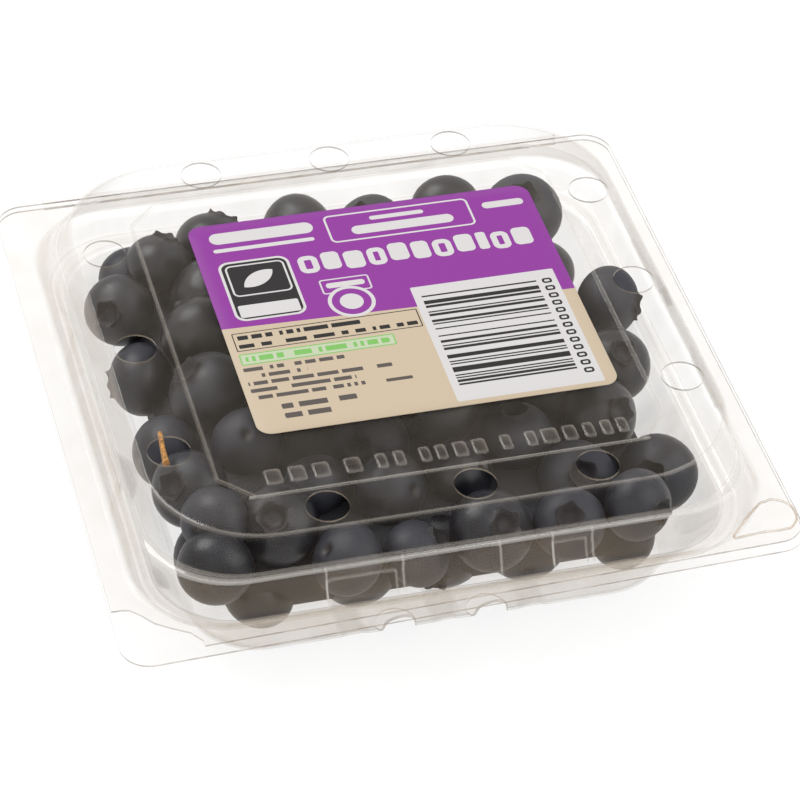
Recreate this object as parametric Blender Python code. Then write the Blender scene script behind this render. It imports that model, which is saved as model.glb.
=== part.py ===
"""Clear hinged punnet of blueberries, shut, with a label on its lid.

Sizes below are in millimetres and are turned into metres when a mesh is made.
+X is the right end of the front edge, +Y the hinge side and +Z up. The origin is
on the ground under the middle of the punnet.
"""

import math
import random

import bmesh
import bpy
from mathutils import Euler, Vector

MM = 0.001

# Plan and heights of the pack. The flanges are a little out of square at the front:
# each corner moves by these amounts in X, Y and Z, front left first.
FLANGE_X, FLANGE_Y, FLANGE_CORNER = 59.4, 58.9, 5.0
LID_CORNER_MOVES = ((0.0, -0.6, 0.0), (-0.5, 2.2, 0.0))
TRAY_CORNER_MOVES = ((-0.2, -1.9, 0.0), (-0.4, 1.0, 0.0))
SHELF_Z = 35.0
LID_FLANGE_Z = 21.4
TRAY_FLANGE_Z = 20.5
SHEET = 0.6
GAP = 0.3
CORNER_STEPS = 6
OVERCUT = 3.0

# Lid: half sizes in X and Y at the named levels
PANEL_X, PANEL_Y, PANEL_CUT, PANEL_SINK = 39.0, 39.5, 5.2, 0.6
PANEL_MID_Y = -0.8
SHELF_X, SHELF_Y, SHELF_CORNER, SHELF_ROUND = 50.5, 50.0, 19.0, 1.5
LEDGE_X, LEDGE_Y, LEDGE_Z, LEDGE_DEEP, LEDGE_CORNER = 52.8, 52.2, 27.2, 1.0, 15.5
ROOT_X, ROOT_Y, ROOT_CORNER = 55.8, 55.2, 15.0

# Tray: half sizes at the floor, over its heel, under its rim's step and at its rim
FLOOR_HALF, FLOOR_CORNER = 40.8, 11.0
HEEL_RISE, HEEL_OUT = 3.6, 2.6
NECK_HALF, NECK_Z, NECK_CORNER = 50.2, 16.6, 14.0
STEP_OUT, STEP_RISE = 2.6, 0.8
RIM_HALF, RIM_CORNER = 54.6, 15.0
CHANNEL_HIGH, CHANNEL_TOP, CHANNEL_FOOT = 1.5, 1.6, 3.4
CHANNEL_HALF, GROOVE_HALF = 41.6, 46.0
CHANNEL_X = (-16.0, 0.5, 16.0)

# Holes
VENT_R, VENT_ROW = 3.65, 45.0
VENT_FRONT_X = (-22.6, 2.6, 23.8)
VENT_BACK_X = (-23.3, 0.8, 24.0)
VENT_SIDE_Y = (-26.6, 0.0, 26.4)
DRAIN_R, DRAIN_X, DRAIN_Y = 3.6, 8.2, 40.6
HOLE_SIDES = 16

# Hinge bead along the back edge, and the pull tabs at the two sides
HINGE_Y = 60.2
HINGE_Z = (LID_FLANGE_Z + TRAY_FLANGE_Z + SHEET) / 2.0
BEAD_R, BEAD_HALF, BEAD_SIDES = 0.55, 50.0, 10
TAB_X, TAB_HALF, TAB_Y, TAB_SLOPE = 60.4, 13.5, -2.0, 2.0

# Label on the sunk panel
LABEL_X, LABEL_Y, LABEL_MID, LABEL_CORNER = 31.8, 28.2, (2.4, 2.5), 2.6

# Fruit
BERRY_COUNT = 84
BERRY_SMALL, BERRY_LARGE = 5.9, 7.5
FRUIT_TOP = 28.6
FRUIT_CLEAR = 0.75
HEAP_CORNER = 9.0
SEED = 11
CORE_HALF, CORE_LOW, CORE_HIGH = 41.0, 6.4, 17.5

# Berries placed by eye where the pack shows them: x, y, z, radius
SHOWN_BERRIES = (
    (-42.0, 28.5, 19.5, 6.5),
    (-37.5, 40.5, 16.5, 6.3),
    (-21.5, 41.5, 20.5, 7.3),
    (-26.5, 27.0, 21.0, 7.2),
    (-5.3, 44.4, 20.5, 7.5),
    (23.4, 43.2, 20.5, 6.9),
    (38.2, 41.0, 20.0, 7.6),
    (45.4, 9.6, 22.0, 6.6),
    (40.6, -6.1, 20.8, 6.8),
    (32.8, -42.0, 21.0, 6.3),
    (34.0, -38.5, 8.8, 6.2),
    (-18.0, -45.4, 20.0, 6.3),
    (4.8, -43.4, 20.6, 7.2),
    (-6.8, -45.8, 19.0, 6.0),
    (-38.6, -39.8, 20.0, 6.6),
    (-27.0, -37.0, 20.8, 7.2),
    (-32.0, -39.0, 8.6, 6.0),
    (-32.4, 1.1, 21.2, 7.4),
    (-43.5, 11.5, 17.5, 6.6),
    (-43.6, -6.5, 17.0, 6.5),
    (-40.1, -21.0, 20.3, 6.8),
    (21.0, -43.0, 20.3, 6.3),
)
# No berry of the upper layer lies in this corner: lowest x, highest y, highest centre
BARE_CORNER = (36.0, -14.0, 12.0)


def clear_scene():
    """Remove whatever the scene holds at the start."""
    for obj in list(bpy.data.objects):
        bpy.data.objects.remove(obj, do_unlink=True)


def material(name, colour, roughness, alpha=1.0):
    """A plain Principled material in one colour."""
    made = bpy.data.materials.new(name)
    made.use_nodes = True
    shader = made.node_tree.nodes["Principled BSDF"]
    shader.inputs["Base Color"].default_value = (*colour, 1.0)
    shader.inputs["Roughness"].default_value = roughness
    shader.inputs["Metallic"].default_value = 0.0
    shader.inputs["Alpha"].default_value = alpha
    return made


def ring(half_x, half_y, corner, z, straight=False):
    """Points of a rounded rectangle, counter-clockwise seen from above.

    With straight set, each corner is a flat cut with as many points as an arc.
    """
    points = []
    for quarter in range(4):
        turn = quarter * math.pi / 2.0
        sign_x = 1 if quarter in (0, 3) else -1
        sign_y = 1 if quarter in (0, 1) else -1
        mid = Vector((sign_x * (half_x - corner), sign_y * (half_y - corner)))
        first = mid + corner * Vector((math.cos(turn), math.sin(turn)))
        last = mid + corner * Vector((-math.sin(turn), math.cos(turn)))
        for step in range(CORNER_STEPS + 1):
            share = step / CORNER_STEPS
            angle = turn + share * math.pi / 2.0
            spot = mid + corner * Vector((math.cos(angle), math.sin(angle)))
            if straight:
                spot = first.lerp(last, share)
            points.append(Vector((spot.x, spot.y, z)) * MM)
    return points


def moved(points, offset):
    """The same points, all moved by an offset in millimetres."""
    return [point + Vector(offset) * MM for point in points]


def flange_ring(z, corner_moves):
    """The flange's outline at one height, with its two front corners out of square."""
    points = ring(FLANGE_X, FLANGE_Y, FLANGE_CORNER, z)
    each = CORNER_STEPS + 1
    for quarter, move in zip((2, 3), corner_moves):
        for i in range(quarter * each, (quarter + 1) * each):
            points[i] = points[i] + Vector(move) * MM
    return points


def panel_ring(inset, z):
    """The sunk panel's outline, with its corners cut flat."""
    points = ring(PANEL_X - inset, PANEL_Y - inset, PANEL_CUT, z, True)
    return moved(points, (0.0, PANEL_MID_Y, 0.0))


def add_object(name, bm, finish):
    """Turn a bmesh into an object whose faces point out."""
    bmesh.ops.recalc_face_normals(bm, faces=bm.faces)
    mesh = bpy.data.meshes.new(name)
    bm.to_mesh(mesh)
    bm.free()
    obj = bpy.data.objects.new(name, mesh)
    bpy.context.scene.collection.objects.link(obj)
    if finish:
        mesh.materials.append(finish)
    return obj


def stack_of_rings(name, rings, finish=None):
    """A closed skin through the rings in order, its first and last ones filled."""
    bm = bmesh.new()
    loops = [[bm.verts.new(point) for point in points] for points in rings]
    for low, high in zip(loops, loops[1:]):
        for i, vert in enumerate(low):
            after = (i + 1) % len(low)
            bm.faces.new((vert, low[after], high[after], high[i]))
    bm.faces.new(reversed(loops[0]))
    bm.faces.new(loops[-1])
    return add_object(name, bm, finish)


def prism(name, outline, z_low, z_high):
    """An upright prism over a plan outline."""
    bm = bmesh.new()
    low = [bm.verts.new(Vector((x, y, z_low)) * MM) for x, y in outline]
    high = [bm.verts.new(Vector((x, y, z_high)) * MM) for x, y in outline]
    for i, vert in enumerate(low):
        after = (i + 1) % len(low)
        bm.faces.new((vert, low[after], high[after], high[i]))
    bm.faces.new(reversed(low))
    bm.faces.new(high)
    return add_object(name, bm, None)


def disc_outline(x, y, radius):
    """Corners of a hole or a bead, as a regular polygon."""
    turns = [2.0 * math.pi * i / HOLE_SIDES for i in range(HOLE_SIDES)]
    return [(x + radius * math.cos(turn), y + radius * math.sin(turn)) for turn in turns]


def combine(target, helpers, operation):
    """Apply one Boolean between the target and a list of helpers, then remove these."""
    group = bpy.data.collections.new(target.name + "_helpers")
    bpy.context.scene.collection.children.link(group)
    for helper in helpers:
        bpy.context.scene.collection.objects.unlink(helper)
        group.objects.link(helper)
    cut = target.modifiers.new(operation.lower(), "BOOLEAN")
    cut.operation = operation
    cut.operand_type = "COLLECTION"
    cut.collection = group
    cut.solver = "EXACT"
    bpy.context.view_layer.update()
    evaluated = target.evaluated_get(bpy.context.evaluated_depsgraph_get())
    mesh = bpy.data.meshes.new_from_object(evaluated)
    target.modifiers.clear()
    target.data = mesh
    for helper in helpers:
        bpy.data.objects.remove(helper, do_unlink=True)
    bpy.data.collections.remove(group)


def shade(obj, angle=35.0):
    """Smooth the round stretches and keep the creases."""
    obj.data.shade_smooth()
    obj.data.set_sharp_from_angle(angle=math.radians(angle))


def set_origin(obj, point):
    """Put the object's origin at a point in millimetres and leave its shape in place."""
    spot = Vector(point) * MM
    for vert in obj.data.vertices:
        vert.co -= spot
    obj.location = spot


def vent_places():
    """Centres of the twelve holes, three along each side of the lid."""
    front = [(x, -VENT_ROW) for x in VENT_FRONT_X]
    back = [(x, VENT_ROW) for x in VENT_BACK_X]
    sides = [(side * VENT_ROW, y) for side in (-1, 1) for y in VENT_SIDE_Y]
    return front + back + sides


def scoop_outline():
    """What is cut away from the lid's flange at its front left corner."""
    x, y = -FLANGE_X, -FLANGE_Y
    return [
        (x - OVERCUT, y - OVERCUT),
        (x + 13.4, y - OVERCUT),
        (x + 13.2, y + 0.8),
        (x + 11.6, y + 3.0),
        (x + 8.6, y + 4.8),
        (x + 6.3, y + 6.4),
        (x + 4.6, y + 8.6),
        (x + 3.0, y + 10.1),
        (x + 1.6, y + 10.4),
        (x - OVERCUT, y + 10.4),
    ]


def tab_outline(side):
    """A shallow pull tab that stands out from one side of a flange."""
    inner = side * (FLANGE_X - TAB_SLOPE)
    outer = side * TAB_X
    points = [
        (inner, TAB_Y - TAB_HALF - TAB_SLOPE),
        (outer, TAB_Y - TAB_HALF + TAB_SLOPE),
        (outer, TAB_Y + TAB_HALF - TAB_SLOPE),
        (inner, TAB_Y + TAB_HALF + TAB_SLOPE),
    ]
    return points if side > 0 else points[::-1]


def build_lid(finish):
    """The upper half: sunk label panel, vented shelf, stepped wall and flange."""
    top = LID_FLANGE_Z + SHEET
    outer = [
        panel_ring(0.5, SHELF_Z - PANEL_SINK),
        panel_ring(0.0, SHELF_Z),
        ring(SHELF_X - 1.3, SHELF_Y - 1.3, SHELF_CORNER, SHELF_Z),
        ring(SHELF_X - 0.3, SHELF_Y - 0.3, SHELF_CORNER, SHELF_Z - SHELF_ROUND / 3.0),
        ring(SHELF_X, SHELF_Y, SHELF_CORNER, SHELF_Z - SHELF_ROUND),
        ring(LEDGE_X - LEDGE_DEEP, LEDGE_Y - LEDGE_DEEP, LEDGE_CORNER, LEDGE_Z + 0.5),
        ring(LEDGE_X, LEDGE_Y, LEDGE_CORNER, LEDGE_Z),
        ring(ROOT_X - 0.7, ROOT_Y - 0.7, ROOT_CORNER, top + 0.6),
        ring(ROOT_X, ROOT_Y, ROOT_CORNER, top),
        flange_ring(top, LID_CORNER_MOVES),
    ]
    inner = [
        flange_ring(LID_FLANGE_Z, LID_CORNER_MOVES),
        ring(ROOT_X - SHEET, ROOT_Y - SHEET, ROOT_CORNER, LID_FLANGE_Z),
        ring(LEDGE_X - SHEET, LEDGE_Y - SHEET, LEDGE_CORNER, LEDGE_Z - 0.4),
        ring(LEDGE_X - LEDGE_DEEP - SHEET, LEDGE_Y - LEDGE_DEEP - SHEET, LEDGE_CORNER, LEDGE_Z),
        ring(SHELF_X - SHEET, SHELF_Y - SHEET, SHELF_CORNER, SHELF_Z - SHELF_ROUND - 0.1),
        ring(SHELF_X - SHELF_ROUND, SHELF_Y - SHELF_ROUND, SHELF_CORNER, SHELF_Z - SHEET),
        panel_ring(-0.5, SHELF_Z - SHEET),
        panel_ring(0.0, SHELF_Z - PANEL_SINK - SHEET),
    ]
    lid = stack_of_rings("lid", outer + inner, finish)
    tabs = [prism(f"lid_tab_{side}", tab_outline(side), LID_FLANGE_Z, top) for side in (-1, 1)]
    combine(lid, tabs, "UNION")
    cutters = [
        prism(f"vent_{i}", disc_outline(x, y, VENT_R), SHELF_Z - OVERCUT, SHELF_Z + OVERCUT)
        for i, (x, y) in enumerate(vent_places())
    ]
    cutters.append(prism("scoop", scoop_outline(), LID_FLANGE_Z - 0.2, top + OVERCUT))
    near = HINGE_Y - BEAD_R - GAP - 0.1
    far = near + OVERCUT
    reach = TAB_X + OVERCUT
    strip = [(-reach, near), (reach, near), (reach, far), (-reach, far)]
    cutters.append(prism("hinge_relief", strip, LID_FLANGE_Z - OVERCUT, top + OVERCUT))
    combine(lid, cutters, "DIFFERENCE")
    shade(lid)
    set_origin(lid, (0.0, HINGE_Y, HINGE_Z))
    return lid


def channel_bar(x, low, high, half_top, half_foot, half_length):
    """One bar along Y with sloping sides: a floor channel or what is cut from it."""
    bm = bmesh.new()
    section = [(-half_foot, low), (half_foot, low), (half_top, high), (-half_top, high)]
    ends = []
    for y in (-half_length, half_length):
        ends.append([bm.verts.new(Vector((x + across, y, z)) * MM) for across, z in section])
    for i in range(4):
        after = (i + 1) % 4
        bm.faces.new((ends[0][i], ends[0][after], ends[1][after], ends[1][i]))
    bm.faces.new(reversed(ends[0]))
    bm.faces.new(ends[1])
    return add_object(f"channel_{x:.0f}_{low:.1f}", bm, None)


def hinge_bead():
    """The bead that runs along the back edge, with the hinge axis at its middle."""
    bm = bmesh.new()
    ends = []
    for x in (-BEAD_HALF, BEAD_HALF):
        spots = []
        for i in range(BEAD_SIDES):
            angle = 2.0 * math.pi * (i + 0.5) / BEAD_SIDES
            y = HINGE_Y + BEAD_R * math.cos(angle)
            z = HINGE_Z + BEAD_R * math.sin(angle)
            spots.append(bm.verts.new(Vector((x, y, z)) * MM))
        ends.append(spots)
    for i in range(BEAD_SIDES):
        after = (i + 1) % BEAD_SIDES
        bm.faces.new((ends[0][i], ends[0][after], ends[1][after], ends[1][i]))
    bm.faces.new(reversed(ends[0]))
    bm.faces.new(ends[1])
    return add_object("bead", bm, None)


def build_tray(finish):
    """The lower half: channelled floor, sloping wall, rim, flange and hinge bead."""
    top = TRAY_FLANGE_Z + SHEET
    heel = FLOOR_HALF + HEEL_OUT
    outer = [
        ring(FLOOR_HALF, FLOOR_HALF, FLOOR_CORNER, 0.0),
        ring(FLOOR_HALF + 1.9, FLOOR_HALF + 1.9, FLOOR_CORNER + 1.0, 0.8),
        ring(heel, heel, FLOOR_CORNER + 1.5, HEEL_RISE),
        ring(NECK_HALF, NECK_HALF, NECK_CORNER, NECK_Z),
        ring(NECK_HALF + STEP_OUT, NECK_HALF + STEP_OUT, NECK_CORNER + 0.6, NECK_Z + STEP_RISE),
        ring(RIM_HALF - 0.4, RIM_HALF - 0.4, RIM_CORNER, TRAY_FLANGE_Z - 0.5),
        ring(RIM_HALF, RIM_HALF, RIM_CORNER, TRAY_FLANGE_Z),
        flange_ring(TRAY_FLANGE_Z, TRAY_CORNER_MOVES),
    ]
    inner = [
        flange_ring(top, TRAY_CORNER_MOVES),
        ring(RIM_HALF - 0.6, RIM_HALF - 0.6, RIM_CORNER, top),
        ring(NECK_HALF + 2.0, NECK_HALF + 2.0, NECK_CORNER + 0.6, NECK_Z + 1.3),
        ring(NECK_HALF - 0.7, NECK_HALF - 0.7, NECK_CORNER, NECK_Z + 0.5),
        ring(heel - 0.6, heel - 0.6, FLOOR_CORNER + 1.5, HEEL_RISE + 0.1),
        ring(FLOOR_HALF + 1.4, FLOOR_HALF + 1.4, FLOOR_CORNER + 1.0, 1.3),
        ring(FLOOR_HALF - 0.2, FLOOR_HALF - 0.2, FLOOR_CORNER, SHEET),
    ]
    tray = stack_of_rings("tray", outer + inner, finish)
    added = [
        channel_bar(x, SHEET / 2.0, CHANNEL_HIGH + SHEET, CHANNEL_TOP, CHANNEL_FOOT, CHANNEL_HALF)
        for x in CHANNEL_X
    ]
    added.append(hinge_bead())
    bridge = [
        (-BEAD_HALF, FLANGE_Y - OVERCUT),
        (BEAD_HALF, FLANGE_Y - OVERCUT),
        (BEAD_HALF, HINGE_Y),
        (-BEAD_HALF, HINGE_Y),
    ]
    added.append(prism("bead_bridge", bridge, TRAY_FLANGE_Z, top))
    combine(tray, added, "UNION")
    grooves = [
        channel_bar(x, -1.0, CHANNEL_HIGH, CHANNEL_TOP - SHEET, CHANNEL_FOOT, GROOVE_HALF)
        for x in CHANNEL_X
    ]
    drains = []
    for side_x in (-1, 1):
        for side_y in (-1, 1):
            spot = disc_outline(side_x * DRAIN_X, side_y * DRAIN_Y, DRAIN_R)
            drains.append(prism(f"drain_{side_x}_{side_y}", spot, -OVERCUT, NECK_Z / 3.0))
    combine(tray, grooves + drains, "DIFFERENCE")
    shade(tray)
    return tray


def build_label(finish):
    """The printed label, a thin sheet just over the lid's sunk panel."""
    low = SHELF_Z - PANEL_SINK + GAP
    rings = [
        ring(LABEL_X, LABEL_Y, LABEL_CORNER, low),
        ring(LABEL_X, LABEL_Y, LABEL_CORNER, SHELF_Z),
    ]
    placed = [moved(points, (*LABEL_MID, 0.0)) for points in rings]
    label = stack_of_rings("label", placed, finish)
    shade(label)
    return label


def inner_half(z):
    """Half width of the room for fruit at one height."""
    levels = (
        (0.6, FLOOR_HALF + 0.8),
        (HEEL_RISE, FLOOR_HALF + HEEL_OUT - 0.6),
        (NECK_Z + 0.5, NECK_HALF - 0.7),
        (TRAY_FLANGE_Z, RIM_HALF - 1.2),
        (LEDGE_Z, SHELF_Y + 0.6),
        (SHELF_Z, SHELF_Y - 0.8),
    )
    if z <= levels[0][0]:
        return levels[0][1]
    for (z_low, half_low), (z_high, half_high) in zip(levels, levels[1:]):
        if z <= z_high:
            return half_low + (half_high - half_low) * (z - z_low) / (z_high - z_low)
    return levels[-1][1]


def keep_inside(berry):
    """Move one berry back inside the walls, off the floor and out of the bare corner."""
    x, y, z, radius = berry[:4]
    floor = CHANNEL_HIGH + SHEET + FRUIT_CLEAR + radius
    z = min(max(z, floor), FRUIT_TOP - radius)
    room = min(
        inner_half(z + rise * radius) - radius * math.sqrt(1.0 - rise * rise)
        for rise in (-0.85, -0.65, -0.45, -0.25, 0.0, 0.3)
    )
    room -= FRUIT_CLEAR
    x = min(max(x, -room), room)
    y = min(max(y, -room), room)
    corner = max(room - HEAP_CORNER, 0.0)
    over_x, over_y = abs(x) - corner, abs(y) - corner
    if over_x > 0.0 and over_y > 0.0:
        reach = math.sqrt(over_x * over_x + over_y * over_y)
        if reach > HEAP_CORNER:
            x = math.copysign(corner + over_x * HEAP_CORNER / reach, x)
            y = math.copysign(corner + over_y * HEAP_CORNER / reach, y)
    low_x, high_y, high_z = BARE_CORNER
    if x > low_x and y < high_y and z > high_z and not berry[4]:
        z = max(high_z, z - 1.0)
    berry[0], berry[1], berry[2] = x, y, z


def push_apart(first, second):
    """Part two berries that overlap. One that is placed by eye keeps its plan position."""
    apart = [second[i] - first[i] for i in range(3)]
    distance = math.sqrt(apart[0] ** 2 + apart[1] ** 2 + apart[2] ** 2)
    overlap = first[3] + second[3] - distance
    if overlap <= 0.0:
        return
    if distance < 0.01:
        apart, distance = [0.0, 0.0, 1.0], 1.0
    share = (0.5, 0.5)
    if first[4] != second[4]:
        share = (0.0, 1.0) if first[4] else (1.0, 0.0)
    for i in range(3):
        move = overlap * apart[i] / distance
        first[i] -= share[0] * move
        second[i] += share[1] * move


def settled_berries():
    """Centres and radii of all the berries: shown ones in place, the rest settled."""
    draw = random.Random(SEED)
    berries = [[x, y, z, radius, True] for x, y, z, radius in SHOWN_BERRIES]
    while len(berries) < BERRY_COUNT:
        radius = draw.uniform(BERRY_SMALL, BERRY_LARGE)
        x, y = draw.uniform(-40.0, 40.0), draw.uniform(-40.0, 40.0)
        berries.append([x, y, draw.uniform(8.0, 40.0), radius, False])
    for step in range(260):
        sink = 0.5 if step < 180 else 0.12
        for berry in berries:
            if not berry[4]:
                berry[2] -= sink
            keep_inside(berry)
        for i, first in enumerate(berries):
            for second in berries[i + 1 :]:
                push_apart(first, second)
    for berry in berries:
        keep_inside(berry)
    return berries


def berry_solid(index, berry, draw):
    """One berry with few sides: slightly flattened and turned its own way."""
    bm = bmesh.new()
    bmesh.ops.create_icosphere(bm, subdivisions=2, radius=berry[3] * MM)
    turn = Euler([draw.uniform(0.0, math.pi) for _ in range(3)]).to_matrix()
    for vert in bm.verts:
        vert.co = turn @ vert.co + Vector(berry[:3]) * MM
    return add_object(f"berry_{index}", bm, None)


def keep_largest(obj):
    """Drop loose scraps and sealed hollows: only the largest closed skin stays."""
    bm = bmesh.new()
    bm.from_mesh(obj.data)
    left = set(bm.verts)
    groups = []
    while left:
        start = left.pop()
        group, edge = {start}, [start]
        while edge:
            vert = edge.pop()
            for link in vert.link_edges:
                other = link.other_vert(vert)
                if other in left:
                    left.discard(other)
                    group.add(other)
                    edge.append(other)
        groups.append(group)
    groups.sort(key=len)
    for group in groups[:-1]:
        bmesh.ops.delete(bm, geom=list(group), context="VERTS")
    bm.to_mesh(obj.data)
    bm.free()


def build_fruit(finish):
    """The heap: a core with every berry fused on at its true size."""
    rings = [
        ring(CORE_HALF - 3.0, CORE_HALF - 3.0, FLOOR_CORNER, CORE_LOW),
        ring(CORE_HALF, CORE_HALF, FLOOR_CORNER, CORE_HIGH),
    ]
    heap = stack_of_rings("blueberries", rings, finish)
    draw = random.Random(SEED + 1)
    solids = [berry_solid(i, berry, draw) for i, berry in enumerate(settled_berries())]
    combine(heap, solids, "UNION")
    keep_largest(heap)
    shade(heap, 50.0)
    return heap


def main():
    clear_scene()
    clear_sheet = material("clear_sheet", (0.86, 0.84, 0.80), 0.08, 0.35)
    berry_skin = material("berry_skin", (0.03, 0.035, 0.07), 0.45)
    label_print = material("label_print", (0.36, 0.12, 0.45), 0.4)
    tray = build_tray(clear_sheet)
    lid = build_lid(clear_sheet)
    label = build_label(label_print)
    heap = build_fruit(berry_skin)
    bpy.context.view_layer.update()
    heap.parent = tray
    label.parent = lid
    label.matrix_parent_inverse = lid.matrix_world.inverted()


main()
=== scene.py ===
"""Looks of a clear hinged punnet of blueberries with a printed label on its lid.

Every length is in millimetres until a mesh is made, and the frame gives the places.
"""

import logging
import math
import random
from dataclasses import dataclass, field
from enum import Enum

import bpy
import numpy as np
from mathutils import Matrix, Vector


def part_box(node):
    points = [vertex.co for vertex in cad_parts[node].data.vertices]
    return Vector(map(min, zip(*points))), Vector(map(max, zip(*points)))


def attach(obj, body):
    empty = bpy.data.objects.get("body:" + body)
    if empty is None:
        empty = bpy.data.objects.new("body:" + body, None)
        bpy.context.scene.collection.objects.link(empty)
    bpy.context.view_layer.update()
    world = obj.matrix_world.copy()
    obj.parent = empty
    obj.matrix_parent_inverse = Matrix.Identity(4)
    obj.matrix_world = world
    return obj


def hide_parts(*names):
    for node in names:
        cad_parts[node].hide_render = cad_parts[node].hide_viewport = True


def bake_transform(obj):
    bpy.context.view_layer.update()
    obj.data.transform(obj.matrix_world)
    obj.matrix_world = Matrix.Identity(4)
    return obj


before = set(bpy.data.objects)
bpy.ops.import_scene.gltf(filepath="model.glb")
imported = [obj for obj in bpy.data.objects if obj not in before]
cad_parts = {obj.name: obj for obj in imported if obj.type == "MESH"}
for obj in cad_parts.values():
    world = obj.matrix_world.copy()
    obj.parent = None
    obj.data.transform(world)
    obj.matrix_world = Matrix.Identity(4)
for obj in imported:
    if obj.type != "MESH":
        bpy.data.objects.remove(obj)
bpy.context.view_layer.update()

MM = 0.001
LOG = logging.getLogger("punnet")
Colour = tuple[float, float, float]
Faces = list[tuple[int, ...]]
# Four limits: where a box starts and ends along its two axes
Box = tuple[float, float, float, float]
# Half sizes along x and y, and the corners' radius
Plan = tuple[float, float, float]


def node_box(name: str) -> tuple[Vector, Vector]:
    """A CAD node's lowest and highest corners in millimetres.

    Args:
        name: the node's name.

    Returns:
        The two corners.
    """
    low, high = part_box(name)
    return Vector(low) / MM, Vector(high) / MM


class Corner(Enum):
    """The pack's corners in turn, as the signs of their places."""

    BACK_RIGHT = (1, 1)
    BACK_LEFT = (-1, 1)
    FRONT_LEFT = (-1, -1)
    FRONT_RIGHT = (1, -1)


class Sock:
    """A shader value whose operators add Math nodes."""

    def __init__(self, graph: "Graph", socket: bpy.types.NodeSocket) -> None:
        """Keep the graph and the socket.

        Args:
            graph: the material's node graph.
            socket: the output that holds the value.
        """
        self.graph = graph
        self.socket = socket

    def math(self, operation: str, *others: "Sock | float", first: "Sock | float | None" = None) -> "Sock":
        """Add one Math node.

        Args:
            operation: the Math node's operation.
            others: its further values.
            first: its first value, where that isn't this one.

        Returns:
            The node's result.
        """
        values = [self if first is None else first, *others]
        node = self.graph.node("ShaderNodeMath", {"operation": operation}, dict(enumerate(values)))
        return Sock(self.graph, node.outputs[0])

    def __add__(self, other: "Sock | float") -> "Sock":
        """Sum."""
        return self.math("ADD", other)

    __radd__ = __add__

    def __sub__(self, other: "Sock | float") -> "Sock":
        """Difference."""
        return self.math("SUBTRACT", other)

    def __rsub__(self, other: float) -> "Sock":
        """Difference from a number."""
        return self.math("SUBTRACT", self, first=other)

    def __mul__(self, other: "Sock | float") -> "Sock":
        """Product."""
        return self.math("MULTIPLY", other)

    __rmul__ = __mul__

    def __truediv__(self, other: "Sock | float") -> "Sock":
        """Quotient."""
        return self.math("DIVIDE", other)

    def __pow__(self, other: float) -> "Sock":
        """Power."""
        return self.math("POWER", other)

    def __lt__(self, other: "Sock | float") -> "Sock":
        """One where this is less."""
        return self.math("LESS_THAN", other)

    def __gt__(self, other: "Sock | float") -> "Sock":
        """One where this is greater."""
        return self.math("GREATER_THAN", other)

    def abs(self) -> "Sock":
        """Size without sign."""
        return self.math("ABSOLUTE")

    def floor(self) -> "Sock":
        """Next whole number down."""
        return self.math("FLOOR")

    def most(self, other: "Sock | float") -> "Sock":
        """The greater of two values."""
        return self.math("MAXIMUM", other)

    def least(self, other: "Sock | float") -> "Sock":
        """The lesser of two values."""
        return self.math("MINIMUM", other)

    def ramp(self, low: float, high: float) -> "Sock":
        """A smooth step from 0 at low to 1 at high.

        Args:
            low: where the step starts.
            high: where it ends.

        Returns:
            The step.
        """
        settings = {"interpolation_type": "SMOOTHSTEP"}
        node = self.graph.node("ShaderNodeMapRange", settings, {0: self, 1: low, 2: high})
        return Sock(self.graph, node.outputs[0])


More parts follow.
